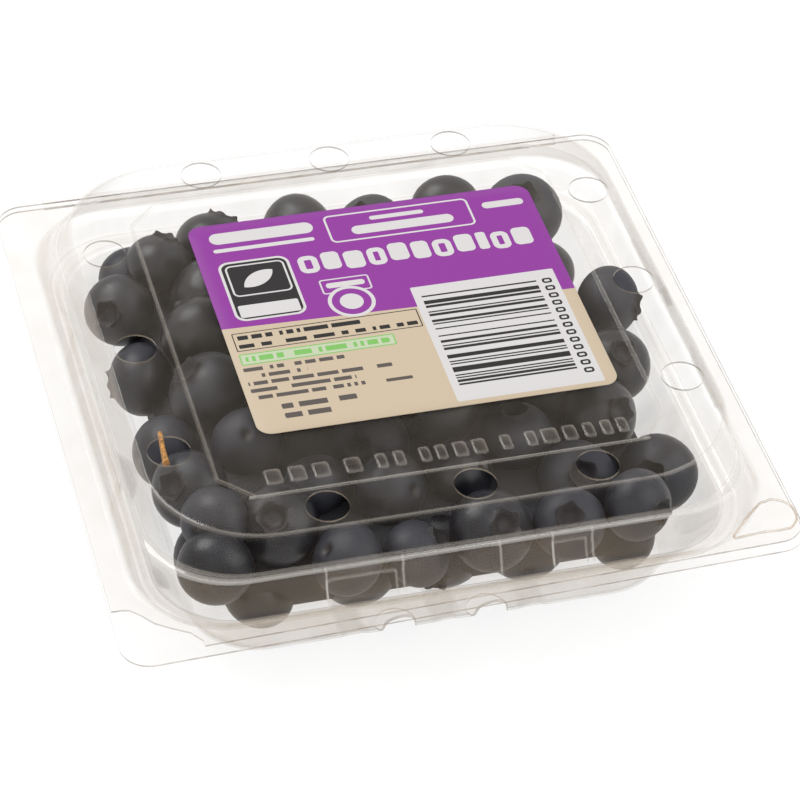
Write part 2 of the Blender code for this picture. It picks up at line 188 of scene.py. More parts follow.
class Graph:
    """One material's node graph, ending in a Principled shader."""

    def __init__(self, name: str) -> None:
        """Make the material with an empty graph.

        Args:
            name: the material's name.
        """
        self.material = bpy.data.materials.new(name)
        self.material.use_nodes = True
        self.tree = self.material.node_tree
        self.tree.nodes.clear()
        self.shader = self.node("ShaderNodeBsdfPrincipled")
        output = self.node("ShaderNodeOutputMaterial")
        self.tree.links.new(self.shader.outputs[0], output.inputs[0])

    def node(
        self,
        kind: str,
        settings: dict[str, object] | None = None,
        inputs: dict[int | str, object] | None = None,
    ) -> bpy.types.Node:
        """Add a node, with its settings first and then its sockets.

        Args:
            kind: the node's type.
            settings: its properties.
            inputs: values or links by socket name or number.

        Returns:
            The node.
        """
        made = self.tree.nodes.new(kind)
        for key, value in (settings or {}).items():
            setattr(made, key, value)
        for key, value in (inputs or {}).items():
            self.plug(made.inputs[key], value)
        return made

    def plug(self, socket: bpy.types.NodeSocket, value: object) -> None:
        """Set a socket, or link it.

        Args:
            socket: the socket to fill.
            value: a number, a colour or a link.
        """
        if isinstance(value, Sock):
            self.tree.links.new(value.socket, socket)
        else:
            socket.default_value = value

    def set(self, **inputs: object) -> None:
        """Fill the Principled shader's sockets.

        Args:
            inputs: values or links, by socket name with _ for a space.
        """
        for key, value in inputs.items():
            self.plug(self.shader.inputs[key.replace("_", " ")], value)

    def place(self) -> tuple[Sock, Sock, Sock]:
        """The shaded point in the piece's own millimetres.

        Returns:
            Its x, y and z.
        """
        where = self.node("ShaderNodeTexCoord").outputs["Object"]
        apart = self.node("ShaderNodeSeparateXYZ", inputs={0: Sock(self, where)})
        x, y, z = (Sock(self, out) * (1.0 / MM) for out in apart.outputs)
        return x, y, z

    def up(self) -> Sock:
        """How far the surface looks up in the piece's own axes, from -1 to 1."""
        normal = Sock(self, self.node("ShaderNodeTexCoord").outputs["Normal"])
        return Sock(self, self.node("ShaderNodeSeparateXYZ", inputs={0: normal}).outputs[2])

    def noise(
        self,
        size: float,
        detail: float = 2.0,
        stretch: tuple[float, float, float] | None = None,
    ) -> Sock:
        """A cloud of values about 0.5.

        Args:
            size: the size of its patches in millimetres.
            detail: how many finer layers it has.
            stretch: factors on the three axes.

        Returns:
            The value.
        """
        where = Sock(self, self.node("ShaderNodeTexCoord").outputs["Object"])
        if stretch:
            mapping = self.node("ShaderNodeMapping", inputs={0: where, 3: stretch})
            where = Sock(self, mapping.outputs[0])
        inputs = {"Vector": where, "Scale": 1.0 / (size * MM), "Detail": detail}
        return Sock(self, self.node("ShaderNodeTexNoise", inputs=inputs).outputs[0])

    def attribute(self, name: str) -> Sock:
        """A number kept on the mesh's points."""
        return Sock(self, self.node("ShaderNodeAttribute", {"attribute_name": name}).outputs["Fac"])

    def facing(self, blend: float) -> Sock:
        """How far the surface turns edge-on, from 0 to 1."""
        node = self.node("ShaderNodeLayerWeight", inputs={"Blend": blend})
        return Sock(self, node.outputs["Facing"])

    def mix(self, share: Sock | float, first: Colour | Sock, second: Colour | Sock) -> Sock:
        """Blend two colours.

        Args:
            share: how much of the second.
            first: one colour.
            second: the other colour.

        Returns:
            The blend.
        """
        values = [value if isinstance(value, Sock) else (*value, 1.0) for value in (first, second)]
        inputs = {0: share, 6: values[0], 7: values[1]}
        node = self.node("ShaderNodeMix", {"data_type": "RGBA"}, inputs)
        return Sock(self, node.outputs[2])

    def bump(self, height: Sock, strength: float, distance: float) -> Sock:
        """A relief that feeds a normal.

        Args:
            height: the relief's height, from 0 to 1.
            strength: how strongly it shows.
            distance: its depth in millimetres.

        Returns:
            The normal.
        """
        inputs = {"Strength": strength, "Distance": distance * MM, "Height": height}
        return Sock(self, self.node("ShaderNodeBump", inputs=inputs).outputs[0])


@dataclass(frozen=True)
class ClearSheet:
    """Thin formed clear sheet: nearly unseen face-on, warm and dense edge-on.

    Each band and line runs from one height to another, with how much of the sheet shows
    in it. Lines, ribs, windows and the crease are where the sheet bends: the sheet is denser
    there and takes a painted highlight in a pale colour for the light it catches.
    """

    name: str
    bands: tuple[tuple[float, float, float], ...]
    lines: tuple[tuple[float, float, float], ...] = ()
    ribs: tuple[float, ...] = ()
    windows: tuple[Box, ...] = ()
    crease: tuple[float, float] = (0.0, 0.0)
    pad: tuple[tuple[float, float, float], ...] = ()
    edge: float = 0.7
    tint: Colour = (0.38, 0.32, 0.25)
    low_tint: Colour = (0.44, 0.32, 0.19)
    edge_colour: Colour = (0.38, 0.29, 0.18)
    # Pale colour of the painted highlight at the bends
    painted_highlight_colour: Colour = (0.62, 0.58, 0.52)
    band_soft: float = 0.12
    line_soft: float = 0.08
    front_wall: float = -50.0
    rib_band: tuple[float, float, float] = (22.3, 27.2, 0.3)
    rib_share: float = 0.2
    window_low: float = 22.15
    window_share: float = 0.16
    crease_low: float = 34.2
    crease_share: float = 0.22
    pad_high: float = 23.0
    pad_share: float = 0.5
    neutral_from: tuple[float, float] = (28.0, 33.0)

    def band_of(self, z: Sock, low: float, high: float, soft: float) -> Sock:
        """One between two heights.

        Args:
            z: the height in millimetres.
            low: where the band starts.
            high: where it ends.
            soft: how wide each edge is.

        Returns:
            The mask.
        """
        return z.ramp(low - soft, low + soft) - z.ramp(high - soft, high + soft)

    def drop_of(self, x: Sock, y: Sock) -> Sock:
        """One on the outline of the drop-shaped pad between its two round ends, where a painted shade line
        stands for its low step.

        Args:
            x: across the pack in millimetres.
            y: towards its back in millimetres.

        Returns:
            The mask.
        """
        (tip_x, tip_y, tip_r), (end_x, end_y, end_r) = self.pad
        along_x, along_y = end_x - tip_x, end_y - tip_y
        square = along_x**2 + along_y**2
        share = ((x - tip_x) * along_x + (y - tip_y) * along_y) / square
        share = share.most(0.0).least(1.0)
        off_x = x - tip_x - share * along_x
        off_y = y - tip_y - share * along_y
        away = (off_x * off_x + off_y * off_y) ** 0.5 - share * (end_r - tip_r) - tip_r
        return away.abs().ramp(0.24, 0.08)

    def window_of(self, x: Sock, z: Sock, box: Box) -> Sock:
        """One on the outline of a window pressed into the front wall.

        Args:
            x: across the pack in millimetres.
            z: the height in millimetres.
            box: lowest x, highest x, lowest z, highest z.

        Returns:
            The mask.
        """
        out_x = (x - (box[0] + box[1]) / 2.0).abs() - (box[1] - box[0]) / 2.0
        out_z = (z - (box[2] + box[3]) / 2.0).abs() - (box[3] - box[2]) / 2.0
        return out_x.most(out_z).abs().ramp(0.26, 0.08)

    def painted_highlights_of(self, graph: Graph, x: Sock, y: Sock, z: Sock) -> Sock:
        """How strongly the painted highlight shows at the bends in the sheet.

        Args:
            graph: the material's graph.
            x: across the pack in millimetres.
            y: towards its back in millimetres.
            z: the height in millimetres.

        Returns:
            The share of the sheet that shows.
        """
        line = z * 0.0
        # Painted highlights: bands at the bends, strips over the ribs, outlines of the windows, and the
        # crease
        for low, high, share in self.lines:
            line = line + self.band_of(z, low, high, self.line_soft) * share
        for middle in self.ribs:
            near = (x - middle).abs().ramp(0.32, 0.10) * (y < self.front_wall)
            line = line + near * self.band_of(z, *self.rib_band) * self.rib_share
        for box in self.windows:
            on_wall = (y < self.front_wall) * (z > self.window_low)
            line = line + self.window_of(x, z, box) * on_wall * self.window_share
        # Flat faces at the same height stay clear
        line = line * graph.up().abs().ramp(0.985, 0.94)
        half_wide, front = self.crease
        if half_wide:
            near = (y - front).abs().ramp(0.34, 0.12) * (x.abs() < half_wide) * (z > self.crease_low)
            line = line + near * self.crease_share
        return line

    def build(self) -> bpy.types.Material:
        """Make the material.

        Returns:
            The material.
        """
        graph = Graph(self.name)
        x, y, z = graph.place()
        facing = graph.facing(0.5)
        streaks = graph.noise(9.0, 3.0, (1.0, 1.0, 0.25)).ramp(0.3, 0.75)
        haze = facing * 0.0
        for low, high, share in self.bands:
            haze = haze + self.band_of(z, low, high, self.band_soft) * share
        line = self.painted_highlights_of(graph, x, y, z)
        alpha = haze * (streaks * 0.6 + 0.7) + facing**4.0 * self.edge + line
        # Painted shade line round the pad's low step on the flange
        if self.pad:
            alpha = alpha + self.drop_of(x, y) * (z < self.pad_high) * self.pad_share
        colour = graph.mix(z.ramp(*self.neutral_from), self.low_tint, self.tint)
        colour = graph.mix(facing.ramp(0.25, 0.85), colour, self.edge_colour)
        # Painted highlight: the bends turn pale for the light they catch
        colour = graph.mix((line * 4.0).least(1.0), colour, self.painted_highlight_colour)
        ripple = graph.noise(6.0, 1.0)
        graph.set(
            Base_Color=colour,
            Alpha=alpha.least(1.0),
            Roughness=streaks * 0.08 + 0.05,
            Metallic=0.0,
            IOR=1.6,
            Coat_Weight=1.0,
            Coat_IOR=1.8,
            Coat_Roughness=0.03,
            Normal=graph.bump(ripple, 0.25, 0.3),
        )
        return graph.material


LID_SHEET = ClearSheet(
    "clear_lid_sheet",
    bands=((21.0, 22.3, 0.045), (22.3, 26.9, 0.080), (26.9, 34.1, 0.010), (33.9, 36.0, 0.025)),
    # Painted highlights at the ledge's bends, the panel's step and its dashes, the ribs, the windows'
    # outlines and the crease
    lines=((27.05, 27.45, 0.38), (27.75, 28.0, 0.22), (34.45, 34.92, 0.13)),
    ribs=(-24.4, -11.4, 5.2, 14.4, 21.3),
    windows=((-24.4, -12.6, 22.0, 25.2), (14.4, 20.2, 22.0, 25.6)),
    crease=(34.6, -40.35),
    # The pad's outline is a painted shade line
    pad=((46.6, -53.8, 0.35), (54.9, -50.4, 3.7)),
)
TRAY_SHEET = ClearSheet(
    "clear_tray_sheet",
    bands=((-1.0, 0.6, 0.050), (0.6, 16.4, 0.17), (16.4, 20.3, 0.08), (20.3, 22.0, 0.035)),
    # Painted highlights at the bends of the rim
    lines=((16.75, 17.05, 0.20), (17.3, 17.5, 0.12)),
    edge=0.4,
)


@dataclass(frozen=True)
class CutEdge:
    """The sheet's cut edge, where light inside the plastic comes out."""

    name: str = "sheet_edge"
    pale: Colour = (0.42, 0.35, 0.27)
    deep: Colour = (0.20, 0.155, 0.11)

    def build(self) -> bpy.types.Material:
        """Make the material.

        Returns:
            The material.
        """
        graph = Graph(self.name)
        along = graph.noise(4.0, 3.0)
        graph.set(
            Base_Color=graph.mix(along.ramp(0.35, 0.65), self.pale, self.deep),
            Alpha=along * 0.4 + 0.35,
            Roughness=0.2,
            Metallic=0.0,
        )
        return graph.material


@dataclass(frozen=True)
class BerrySkin:
    """Dark fruit skin under a rubbed waxy bloom, with a dry brown crown."""

    name: str = "berry_skin"
    skin: Colour = (0.0035, 0.0035, 0.0060)
    ripe: Colour = (0.0090, 0.0050, 0.0075)
    bloom: Colour = (0.023, 0.025, 0.035)
    crown: Colour = (0.020, 0.015, 0.015)
    scar: Colour = (0.022, 0.016, 0.013)

    def build(self) -> bpy.types.Material:
        """Make the material.

        Returns:
            The material.
        """
        graph = Graph(self.name)
        tone = graph.attribute("tone")
        crown = graph.attribute("crown")
        scar = graph.attribute("scar")
        patches = graph.noise(5.0, 4.0)
        grain = graph.noise(0.5, 3.0)
        worn = (patches * 0.8 + tone * 0.35 + grain * 0.12).ramp(0.35, 0.85)
        base = graph.mix(tone, self.skin, self.ripe)
        colour = graph.mix(worn * 0.85, base, self.bloom)
        colour = graph.mix(crown * (grain * 0.5 + 0.5), colour, self.crown)
        colour = graph.mix(scar, colour, self.scar)
        relief = grain * 0.25 + graph.noise(2.4, 2.0)
        graph.set(
            Base_Color=colour,
            Roughness=worn * 0.25 + crown * 0.2 + 0.32,
            Metallic=0.0,
            Normal=graph.bump(relief, 0.2, 0.1),
        )
        return graph.material


@dataclass(frozen=True)
class DryWood:
    """Dry orange-brown stalk, ridged along its length."""

    name: str = "stalk_wood"
    light: Colour = (0.56, 0.27, 0.06)
    dark: Colour = (0.20, 0.09, 0.03)

    def build(self) -> bpy.types.Material:
        """Make the material.

        Returns:
            The material.
        """
        graph = Graph(self.name)
        ridges = graph.noise(0.6, 4.0)
        graph.set(
            Base_Color=graph.mix(ridges.ramp(0.35, 0.65), self.light, self.dark),
            Roughness=0.7,
            Normal=graph.bump(ridges, 0.5, 0.1),
        )
        return graph.material


@dataclass(frozen=True)
class DarkCore:
    """What lies deep between the berries: more fruit in shadow."""

    name: str = "fruit_shadow"
    deep: Colour = (0.003, 0.003, 0.005)
    lit: Colour = (0.010, 0.010, 0.015)

    def build(self) -> bpy.types.Material:
        """Make the material.

        Returns:
            The material.
        """
        graph = Graph(self.name)
        cloud = graph.noise(6.0, 3.0)
        graph.set(Base_Color=graph.mix(cloud, self.deep, self.lit), Roughness=0.7)
        return graph.material


class Ink(Enum):
    """The label's inks, and its bare film."""

    PURPLE = (0.206, 0.022, 0.242)
    CREAM = (0.462, 0.375, 0.270)
    WHITE = (0.520, 0.505, 0.500)
    BLACK = (0.010, 0.008, 0.008)
    GREEN = (0.16, 0.40, 0.09)
    PALE_GREEN = (0.42, 0.47, 0.33)
    GREY = (0.075, 0.062, 0.055)
    FILM = (0.50, 0.49, 0.47)


@dataclass(frozen=True)
class Mark:
    """A printed box (lowest x and y, highest x and y) with round corners.

    With a line it is only an outline. With a pitch it is broken into dashes across the
    label, or up it for stripes, and each row has its own dashes.
    """

    ink: Ink
    box: Box
    round_by: float
    line: float = 0.0
    pitch: float = 0.0
    row: int = 0
    stripes: bool = False
    bare: float = 0.28


@dataclass(frozen=True)
class LabelPrint:
    """Two printed fields with plain bars, frames, dots and stripes on them."""

    name: str = "label_print"
    field_edge: float = 1.25
    field_slope: float = 0.03
    blobs: tuple[float, ...] = (3.6, 3.3, 3.6, 3.3, 3.5, 3.2, 3.5, 3.4, 1.9, 3.3, 3.5)
    row_ends: tuple[float, ...] = (-10.4, -17.3, -2.9, -9.7, -8.6)
    ring_middle: tuple[float, float] = (-5.4, 4.9)
    ticks: int = 13
    fine: float = 0.62
    bold: float = 1.0

    def frame_of(self, x: Sock, y: Sock, box: Box, round_by: float) -> Sock:
        """One inside a box with round corners.

        Args:
            x: across the label in millimetres.
            y: up the label in millimetres.
            box: lowest x, lowest y, highest x, highest y.
            round_by: the corners' radius.

        Returns:
            The mask.
        """
        half_x, half_y = (box[2] - box[0]) / 2.0, (box[3] - box[1]) / 2.0
        out_x = ((x - (box[0] + half_x)).abs() - (half_x - round_by)).most(0.0)
        out_y = ((y - (box[1] + half_y)).abs() - (half_y - round_by)).most(0.0)
        return (out_x * out_x + out_y * out_y) < round_by * round_by

    def disc_of(self, x: Sock, y: Sock, middle: tuple[float, float], radius: float) -> Sock:
        """One inside a circle.

        Args:
            x: across the label in millimetres.
            y: up the label in millimetres.
            middle: the circle's centre.
            radius: its radius.

        Returns:
            The mask.
        """
        dx, dy = x - middle[0], y - middle[1]
        return (dx * dx + dy * dy) < radius * radius

    def dashes(self, graph: Graph, along: Sock, mark: Mark) -> Sock:
        """Short and long dashes or stripes of uneven width.

        Args:
            graph: the material's graph.
            along: the place along the row in millimetres.
            mark: the row, with its finest dash and its bare share.

        Returns:
            The mask.
        """
        step = (along / mark.pitch).floor() + 97.0 * mark.row
        seed = graph.node("ShaderNodeTexWhiteNoise", {"noise_dimensions": "1D"}, {"W": step})
        return Sock(graph, seed.outputs["Value"]) > mark.bare

    def mask_of(self, graph: Graph, x: Sock, y: Sock, mark: Mark) -> Sock:
        """One where a mark is printed.

        Args:
            graph: the material's graph.
            x: across the label in millimetres.
            y: up the label in millimetres.
            mark: the mark.

        Returns:
            The mask.
        """
        mask = self.frame_of(x, y, mark.box, mark.round_by)
        if mark.line:
            low_x, low_y, high_x, high_y = mark.box
            inner = (low_x + mark.line, low_y + mark.line, high_x - mark.line, high_y - mark.line)
            mask = mask - self.frame_of(x, y, inner, max(mark.round_by - mark.line, 0.05))
        if mark.pitch:
            mask = mask * self.dashes(graph, y if mark.stripes else x, mark)
        return mask

    def upper_field(self) -> list[Mark]:
        """Bars, blobs and the badge's boxes on the purple field.

        Returns:
            The marks, in the order of printing.
        """
        white = Ink.WHITE
        marks = [
            Mark(white, (-26.0, 25.0, -7.0, 28.1), 1.5),
            Mark(white, (-26.0, 22.7, -7.5, 23.7), 0.5),
            Mark(white, (-4.7, 21.2, 22.3, 29.0), 1.2, line=0.4),
            Mark(white, (-0.4, 22.8, 18.6, 25.2), 1.2),
            Mark(white, (3.6, 26.3, 13.7, 27.4), 0.55),
            Mark(white, (24.6, 25.2, 32.4, 27.0), 0.9),
        ]
        left = -12.1
        for i, wide in enumerate(self.blobs):
            lift = 0.35 * math.sin(1.9 * i)
            box = (left, 13.9 + lift, left + wide, 18.7 + lift)
            ringed = i % 3 == 0
            marks.append(Mark(white, box, wide * (0.4 if ringed else 0.3), line=1.15 if ringed else 0.0))
            left += wide + 0.7
        return marks + [
            Mark(white, (-26.3, 3.5, -13.5, 19.8), 2.0),
            Mark(Ink.BLACK, (-25.8, 4.0, -14.0, 19.3), 1.6),
            Mark(white, (-25.3, 4.4, -14.5, 7.7), 0.4),
            Mark(white, (-25.2, 10.1, -14.5, 18.7), 1.2, line=0.35),
            Mark(white, (-9.8, 7.6, -0.8, 11.6), 0.6, line=0.3),
            Mark(white, (-8.8, 9.1, -1.8, 10.5), 0.6),
        ]

    def lower_field(self) -> list[Mark]:
        """Rows of dashes and the striped box on the cream field.

        Returns:
            The marks, in the order of printing.
        """
        black, green, grey = Ink.BLACK, Ink.GREEN, Ink.GREY
        fine, bold = self.fine, self.bold
        marks = [
            Mark(black, (-28.1, -4.2, 5.1, 0.6), 0.2, line=0.2),
            Mark(black, (-27.5, -1.3, -5.4, -0.2), 0.2, pitch=fine, row=1),
            Mark(black, (-27.5, -3.5, 4.4, -2.5), 0.2, pitch=fine, row=2),
            Mark(Ink.PALE_GREEN, (-28.1, -7.9, -0.6, -5.0), 0.3),
            Mark(green, (-28.1, -7.9, -0.6, -5.0), 0.3, line=0.25),
            Mark(green, (-27.2, -7.1, -1.6, -5.8), 0.5, pitch=fine, row=3),
        ]
        for i, right in enumerate(self.row_ends):
            low = -9.6 - 1.83 * i
            marks.append(Mark(grey, (-28.2, low, right, low + 0.95), 0.2, pitch=fine, row=4 + i))
        marks += [
            Mark(grey, (-5.0, -17.1, -0.3, -16.3), 0.2),
            Mark(grey, (-24.0, -20.1, -10.9, -18.8), 0.3, pitch=bold, row=9),
            Mark(grey, (-24.0, -22.5, -14.4, -21.2), 0.3, pitch=bold, row=12),
            Mark(Ink.WHITE, (5.5, -24.6, 31.8, 6.3), 0.3),
            Mark(black, (6.9, -20.6, 28.0, 3.7), 0.05, pitch=0.33, row=11, stripes=True, bare=0.52),
        ]
        for i in range(self.ticks):
            low = -22.0 + 2.05 * i
            marks.append(Mark(black, (29.0, low, 30.8, low + 1.35), 0.5, line=0.42))
        return marks

    def emblems(self, x: Sock, y: Sock) -> list[tuple[Sock, Ink]]:
        """The badge's leaf and the ring under the open frame, as masks and inks.

        Args:
            x: across the label in millimetres.
            y: up the label in millimetres.

        Returns:
            Each shape's mask and ink.
        """
        leaf = self.disc_of(x, y, (-18.3, 12.0), 4.6) * self.disc_of(x, y, (-21.5, 16.9), 4.6)
        found = [(leaf, Ink.WHITE)]
        for radius, ink in ((4.2, Ink.WHITE), (3.5, Ink.PURPLE), (2.1, Ink.WHITE)):
            found.append((self.disc_of(x, y, self.ring_middle, radius), ink))
        return found

    def build(self) -> bpy.types.Material:
        """Make the material.

        Returns:
            The material.
        """
        graph = Graph(self.name)
        x, y, _ = graph.place()
        marks = self.upper_field() + self.lower_field()
        prints = [((y + x * self.field_slope) > self.field_edge, Ink.PURPLE)]
        prints += [(self.mask_of(graph, x, y, mark), mark.ink) for mark in marks]
        prints += self.emblems(x, y)
        # The side that sticks to the lid is bare
        prints.append((graph.up() < -0.5, Ink.FILM))
        colour: Colour | Sock = Ink.CREAM.value
        for mask, ink in prints:
            colour = graph.mix(mask, colour, ink.value)
        fibre = graph.noise(0.8, 3.0)
        curl = graph.noise(16.0, 1.0)
        graph.set(
            Base_Color=colour,
            Roughness=fibre * 0.12 + 0.34,
            Metallic=0.0,
            Specular_IOR_Level=0.3,
            Normal=graph.bump(curl + fibre * 0.04, 0.3, 0.25),
        )
        return graph.material


@dataclass(frozen=True)
class PaleFloor:
    """White sweep under the pack, lit from below like a light table."""

    name: str = "pale_floor"
    colour: Colour = (0.20, 0.20, 0.20)
    glow: float = 0.84

    def build(self) -> bpy.types.Material:
        """Make the material.

        Returns:
            The material.
        """
        graph = Graph(self.name)
        graph.set(
            Base_Color=(*self.colour, 1.0),
            Roughness=0.9,
            Specular_IOR_Level=0.0,
            Emission_Color=(1.0, 1.0, 1.0, 1.0),
            Emission_Strength=self.glow,
        )
        return graph.material


def skin(rings: int, count: int, first: int = 0, closed: bool = True, turned: bool = False) -> Faces:
    """Faces over closed rings of points that lie one after the other.

    Args:
        rings: how many rings there are.
        count: how many points each has.
        first: the number of their first point.
        closed: whether the last ring is filled, as the first one is.
        turned: whether the faces look the other way.

    Returns:
        The faces.
    """
    faces: Faces = [tuple(range(first, first + count))]
    last = first + (rings - 1) * count
    for low in range(first, last, count):
        high = low + count
        for i in range(count):
            after = (i + 1) % count
            faces.append((low + i, high + i, high + after, low + after))
    if closed:
        faces.append(tuple(reversed(range(last, last + count))))
    return [(face[0], *face[:0:-1]) for face in faces] if turned else faces


def linked(name: str, data: bpy.types.ID) -> bpy.types.Object:
    """Put an object into the scene.

    Args:
        name: its name.
        data: its mesh, light or camera.

    Returns:
        The object.
    """
    made = bpy.data.objects.new(name, data)
    bpy.context.scene.collection.objects.link(made)
    return made


def piece(
    name: str,
    points: np.ndarray,
    faces: Faces,
    material: bpy.types.Material,
    sharp: float = 40.0,
) -> bpy.types.Object:
    """Make a mesh object.

    Args:
        name: the piece's name.
        points: its points in millimetres.
        faces: its faces.
        material: its finish.
        sharp: the angle in degrees above which an edge stays a crease.

    Returns:
        The object.
    """
    mesh = bpy.data.meshes.new(name)
    mesh.from_pydata((np.asarray(points) * MM).tolist(), [], faces)
    mesh.materials.append(material)
    mesh.shade_smooth()
    mesh.set_sharp_from_angle(angle=math.radians(sharp))
    return linked(name, mesh)


def settle_modifiers(made: bpy.types.Object, sharp: float = 40.0) -> None:
    """Turn an object's modifiers into its mesh.

    Args:
        made: the object.
        sharp: the angle in degrees above which an edge stays a crease.
    """
    bpy.context.view_layer.update()
    evaluated = made.evaluated_get(bpy.context.evaluated_depsgraph_get())
    mesh = bpy.data.meshes.new_from_object(evaluated)
    made.modifiers.clear()
    made.data = mesh
    mesh.shade_smooth()
    mesh.set_sharp_from_angle(angle=math.radians(sharp))


@dataclass(frozen=True)
class Level:
    """One ring of a formed sheet: half sizes, corner radius, height and place."""

    half_x: float
    half_y: float
    corner: float
    z: float
    cut: float = 0.0
    mid_y: float = 0.0
    skew: float = 0.0

    def row(self) -> np.ndarray:
        """The level as an array.

        Returns:
            Its numbers, in the order of its fields.
        """
        return np.array(
            (self.half_x, self.half_y, self.corner, self.z, self.cut, self.mid_y, self.skew)
        )


def rounded(levels: list[Level], reach: float, steps: int = 4) -> list[Level]:
    """Round every bend between levels.

    Args:
        levels: the profile's levels in order.
        reach: how far from a bend the round starts.
        steps: how many levels a bend takes.

    Returns:
        The finer profile.
    """
    rows = [level.row() for level in levels]
    found = [rows[0]]
    for before, here, after in zip(rows, rows[1:], rows[2:]):
        ends = []
        for other in (before, after):
            span = math.hypot(other[0] - here[0], other[3] - here[3])
            ends.append(here + (other - here) * min(0.45, reach / max(span, 1e-6)))
        for step in range(steps + 1):
            t = step / steps
            bend = (1 - t) ** 2 * ends[0] + 2 * t * (1 - t) * here + t**2 * ends[1]
            found.append(bend)
    found.append(rows[-1])
    return [Level(*row) for row in found]


def finer(levels: list[Level], longest: float) -> list[Level]:
    """Split long spans between levels.

    Args:
        levels: the profile's levels in order.
        longest: the longest span that stays whole.

    Returns:
        The finer profile.
    """
    found = [levels[0].row()]
    for level in levels[1:]:
        start, end = found[-1], level.row()
        span = math.hypot(end[0] - start[0], end[3] - start[3])
        parts = max(1, math.ceil(span / longest))
        found += [start + (end - start) * k / parts for k in range(1, parts + 1)]
    return [Level(*row) for row in found]


@dataclass
class FormedSheet:
    """A sheet formed over square rings, with round corners and relief on its walls."""

    corner_steps: int = 14
    side_steps: int = 46
    flange_moves: dict[Corner, tuple[float, float]] = field(default_factory=dict)

    def ring(self, level: Level) -> tuple[np.ndarray, np.ndarray]:
        """One ring's points and the way each looks out.

        Args:
            level: the ring's sizes.

        Returns:
            The points and the plan normals.
        """
        points, normals = [], []
        for quarter, corner in enumerate(Corner):
            turn = quarter * math.pi / 2.0
            sign_x, sign_y = corner.value
            move = np.array(self.flange_moves.get(corner, (0.0, 0.0))) * level.skew
            mid = np.array((sign_x * (level.half_x - level.corner), sign_y * (level.half_y - level.corner)))
            mid = mid + move + np.array((0.0, level.mid_y))
            first = mid + level.corner * np.array((math.cos(turn), math.sin(turn)))
            last = mid + level.corner * np.array((-math.sin(turn), math.cos(turn)))
            for step in range(self.corner_steps + 1):
                share = step / self.corner_steps
                angle = turn + share * math.pi / 2.0
                out = np.array((math.cos(angle), math.sin(angle)))
                spot = (1 - level.cut) * (mid + level.corner * out)
                spot = spot + level.cut * ((1 - share) * first + share * last)
                points.append(spot)
                normals.append(out)
        each = self.corner_steps + 1
        full_points, full_normals = [], []
        for quarter in range(4):
            full_points += points[quarter * each : (quarter + 1) * each]
            full_normals += normals[quarter * each : (quarter + 1) * each]
            start = points[(quarter + 1) * each - 1]
            end = points[((quarter + 1) * each) % len(points)]
            for step in range(1, self.side_steps):
                full_points.append(start + (end - start) * step / self.side_steps)
                full_normals.append(normals[(quarter + 1) * each - 1])
        flat = np.array(full_points)
        heights = np.full((len(flat), 1), level.z)
        return np.hstack((flat, heights)), np.array(full_normals)

    def relief(self, points: np.ndarray, normals: np.ndarray) -> np.ndarray:
        """Move a ring's points for ribs and recesses; the plain sheet has none."""
        return points

    def sheet(self, name: str, levels: list[Level], material: bpy.types.Material) -> bpy.types.Object:
        """Build the sheet, from its middle out.

        Args:
            name: the piece's name.
            levels: its rings, the first one filled.
            material: its finish.

        Returns:
            The object, one skin thick.
        """
        rings = []
        for level in levels:
            points, normals = self.ring(level)
            rings.append(self.relief(points, normals))
        faces = skin(len(rings), len(rings[0]), closed=False)
        return piece(name, np.vstack(rings), faces, material)


def thicken(
    made: bpy.types.Object, thickness: float, rim: bpy.types.Material, inward: bool = True
) -> None:
    """Give a sheet its thickness.

    Args:
        made: the sheet.
        thickness: in millimetres.
        rim: the finish of its cut edge.
        inward: whether it grows against its normals.
    """
    made.data.materials.append(rim)
    modifier = made.modifiers.new("thickness", "SOLIDIFY")
    modifier.thickness = thickness * MM
    modifier.offset = -1.0 if inward else 1.0
    modifier.material_offset_rim = 1
    settle_modifiers(made)


def prism(
    name: str,
    outline: list[tuple[float, float]],
    low: float,
    high: float,
    rim: bpy.types.Material,
) -> bpy.types.Object:
    """An upright cutter over a plan outline.

    Args:
        name: the cutter's name.
        outline: its corners, counter-clockwise.
        low: its lowest height.
        high: its highest height.
        rim: the finish of the edge that it leaves.

    Returns:
        The object.
    """
    count = len(outline)
    points = [(x, y, low) for x, y in outline] + [(x, y, high) for x, y in outline]
    faces: Faces = [tuple(reversed(range(count))), tuple(range(count, 2 * count))]
    faces += [(i, (i + 1) % count, count + (i + 1) % count, count + i) for i in range(count)]
    mesh = bpy.data.meshes.new(name)
    mesh.from_pydata((np.array(points) * MM).tolist(), [], faces)
    mesh.materials.append(rim)
    return linked(name, mesh)


def cut_away(target: bpy.types.Object, cutters: list[bpy.types.Object]) -> None:
    """Cut shapes out of a piece and remove the cutters.

    Args:
        target: the piece.
        cutters: what is cut out.
    """
    group = bpy.data.collections.new("cutters")
    bpy.context.scene.collection.children.link(group)
    for cutter in cutters:
        bpy.context.scene.collection.objects.unlink(cutter)
        group.objects.link(cutter)
    modifier = target.modifiers.new("holes", "BOOLEAN")
    modifier.operation = "DIFFERENCE"
    modifier.operand_type = "COLLECTION"
    modifier.collection = group
    modifier.solver = "EXACT"
    modifier.material_mode = "TRANSFER"
    settle_modifiers(target)
    for cutter in cutters:
        bpy.data.objects.remove(cutter, do_unlink=True)
    bpy.data.collections.remove(group)


def circle(middle: tuple[float, float], radius: float, sides: int = 40) -> list[tuple[float, float]]:
    """Corners of a round outline.

    Args:
        middle: its centre.
        radius: its radius.
        sides: how many corners.

    Returns:
        The corners.
    """
    turns = [2.0 * math.pi * i / sides for i in range(sides)]
    return [(middle[0] + radius * math.cos(t), middle[1] + radius * math.sin(t)) for t in turns]


def bell(values: np.ndarray, middle: float, half: float, soft: float) -> np.ndarray:
    """One between two soft edges, nought outside.

    Args:
        values: places along a line.
        middle: the plateau's centre.
        half: half its width.
        soft: the width of each edge.

    Returns:
        The heights.
    """
    t = np.clip((half + soft - np.abs(values - middle)) / soft, 0.0, 1.0)
    return t * t * (3.0 - 2.0 * t)


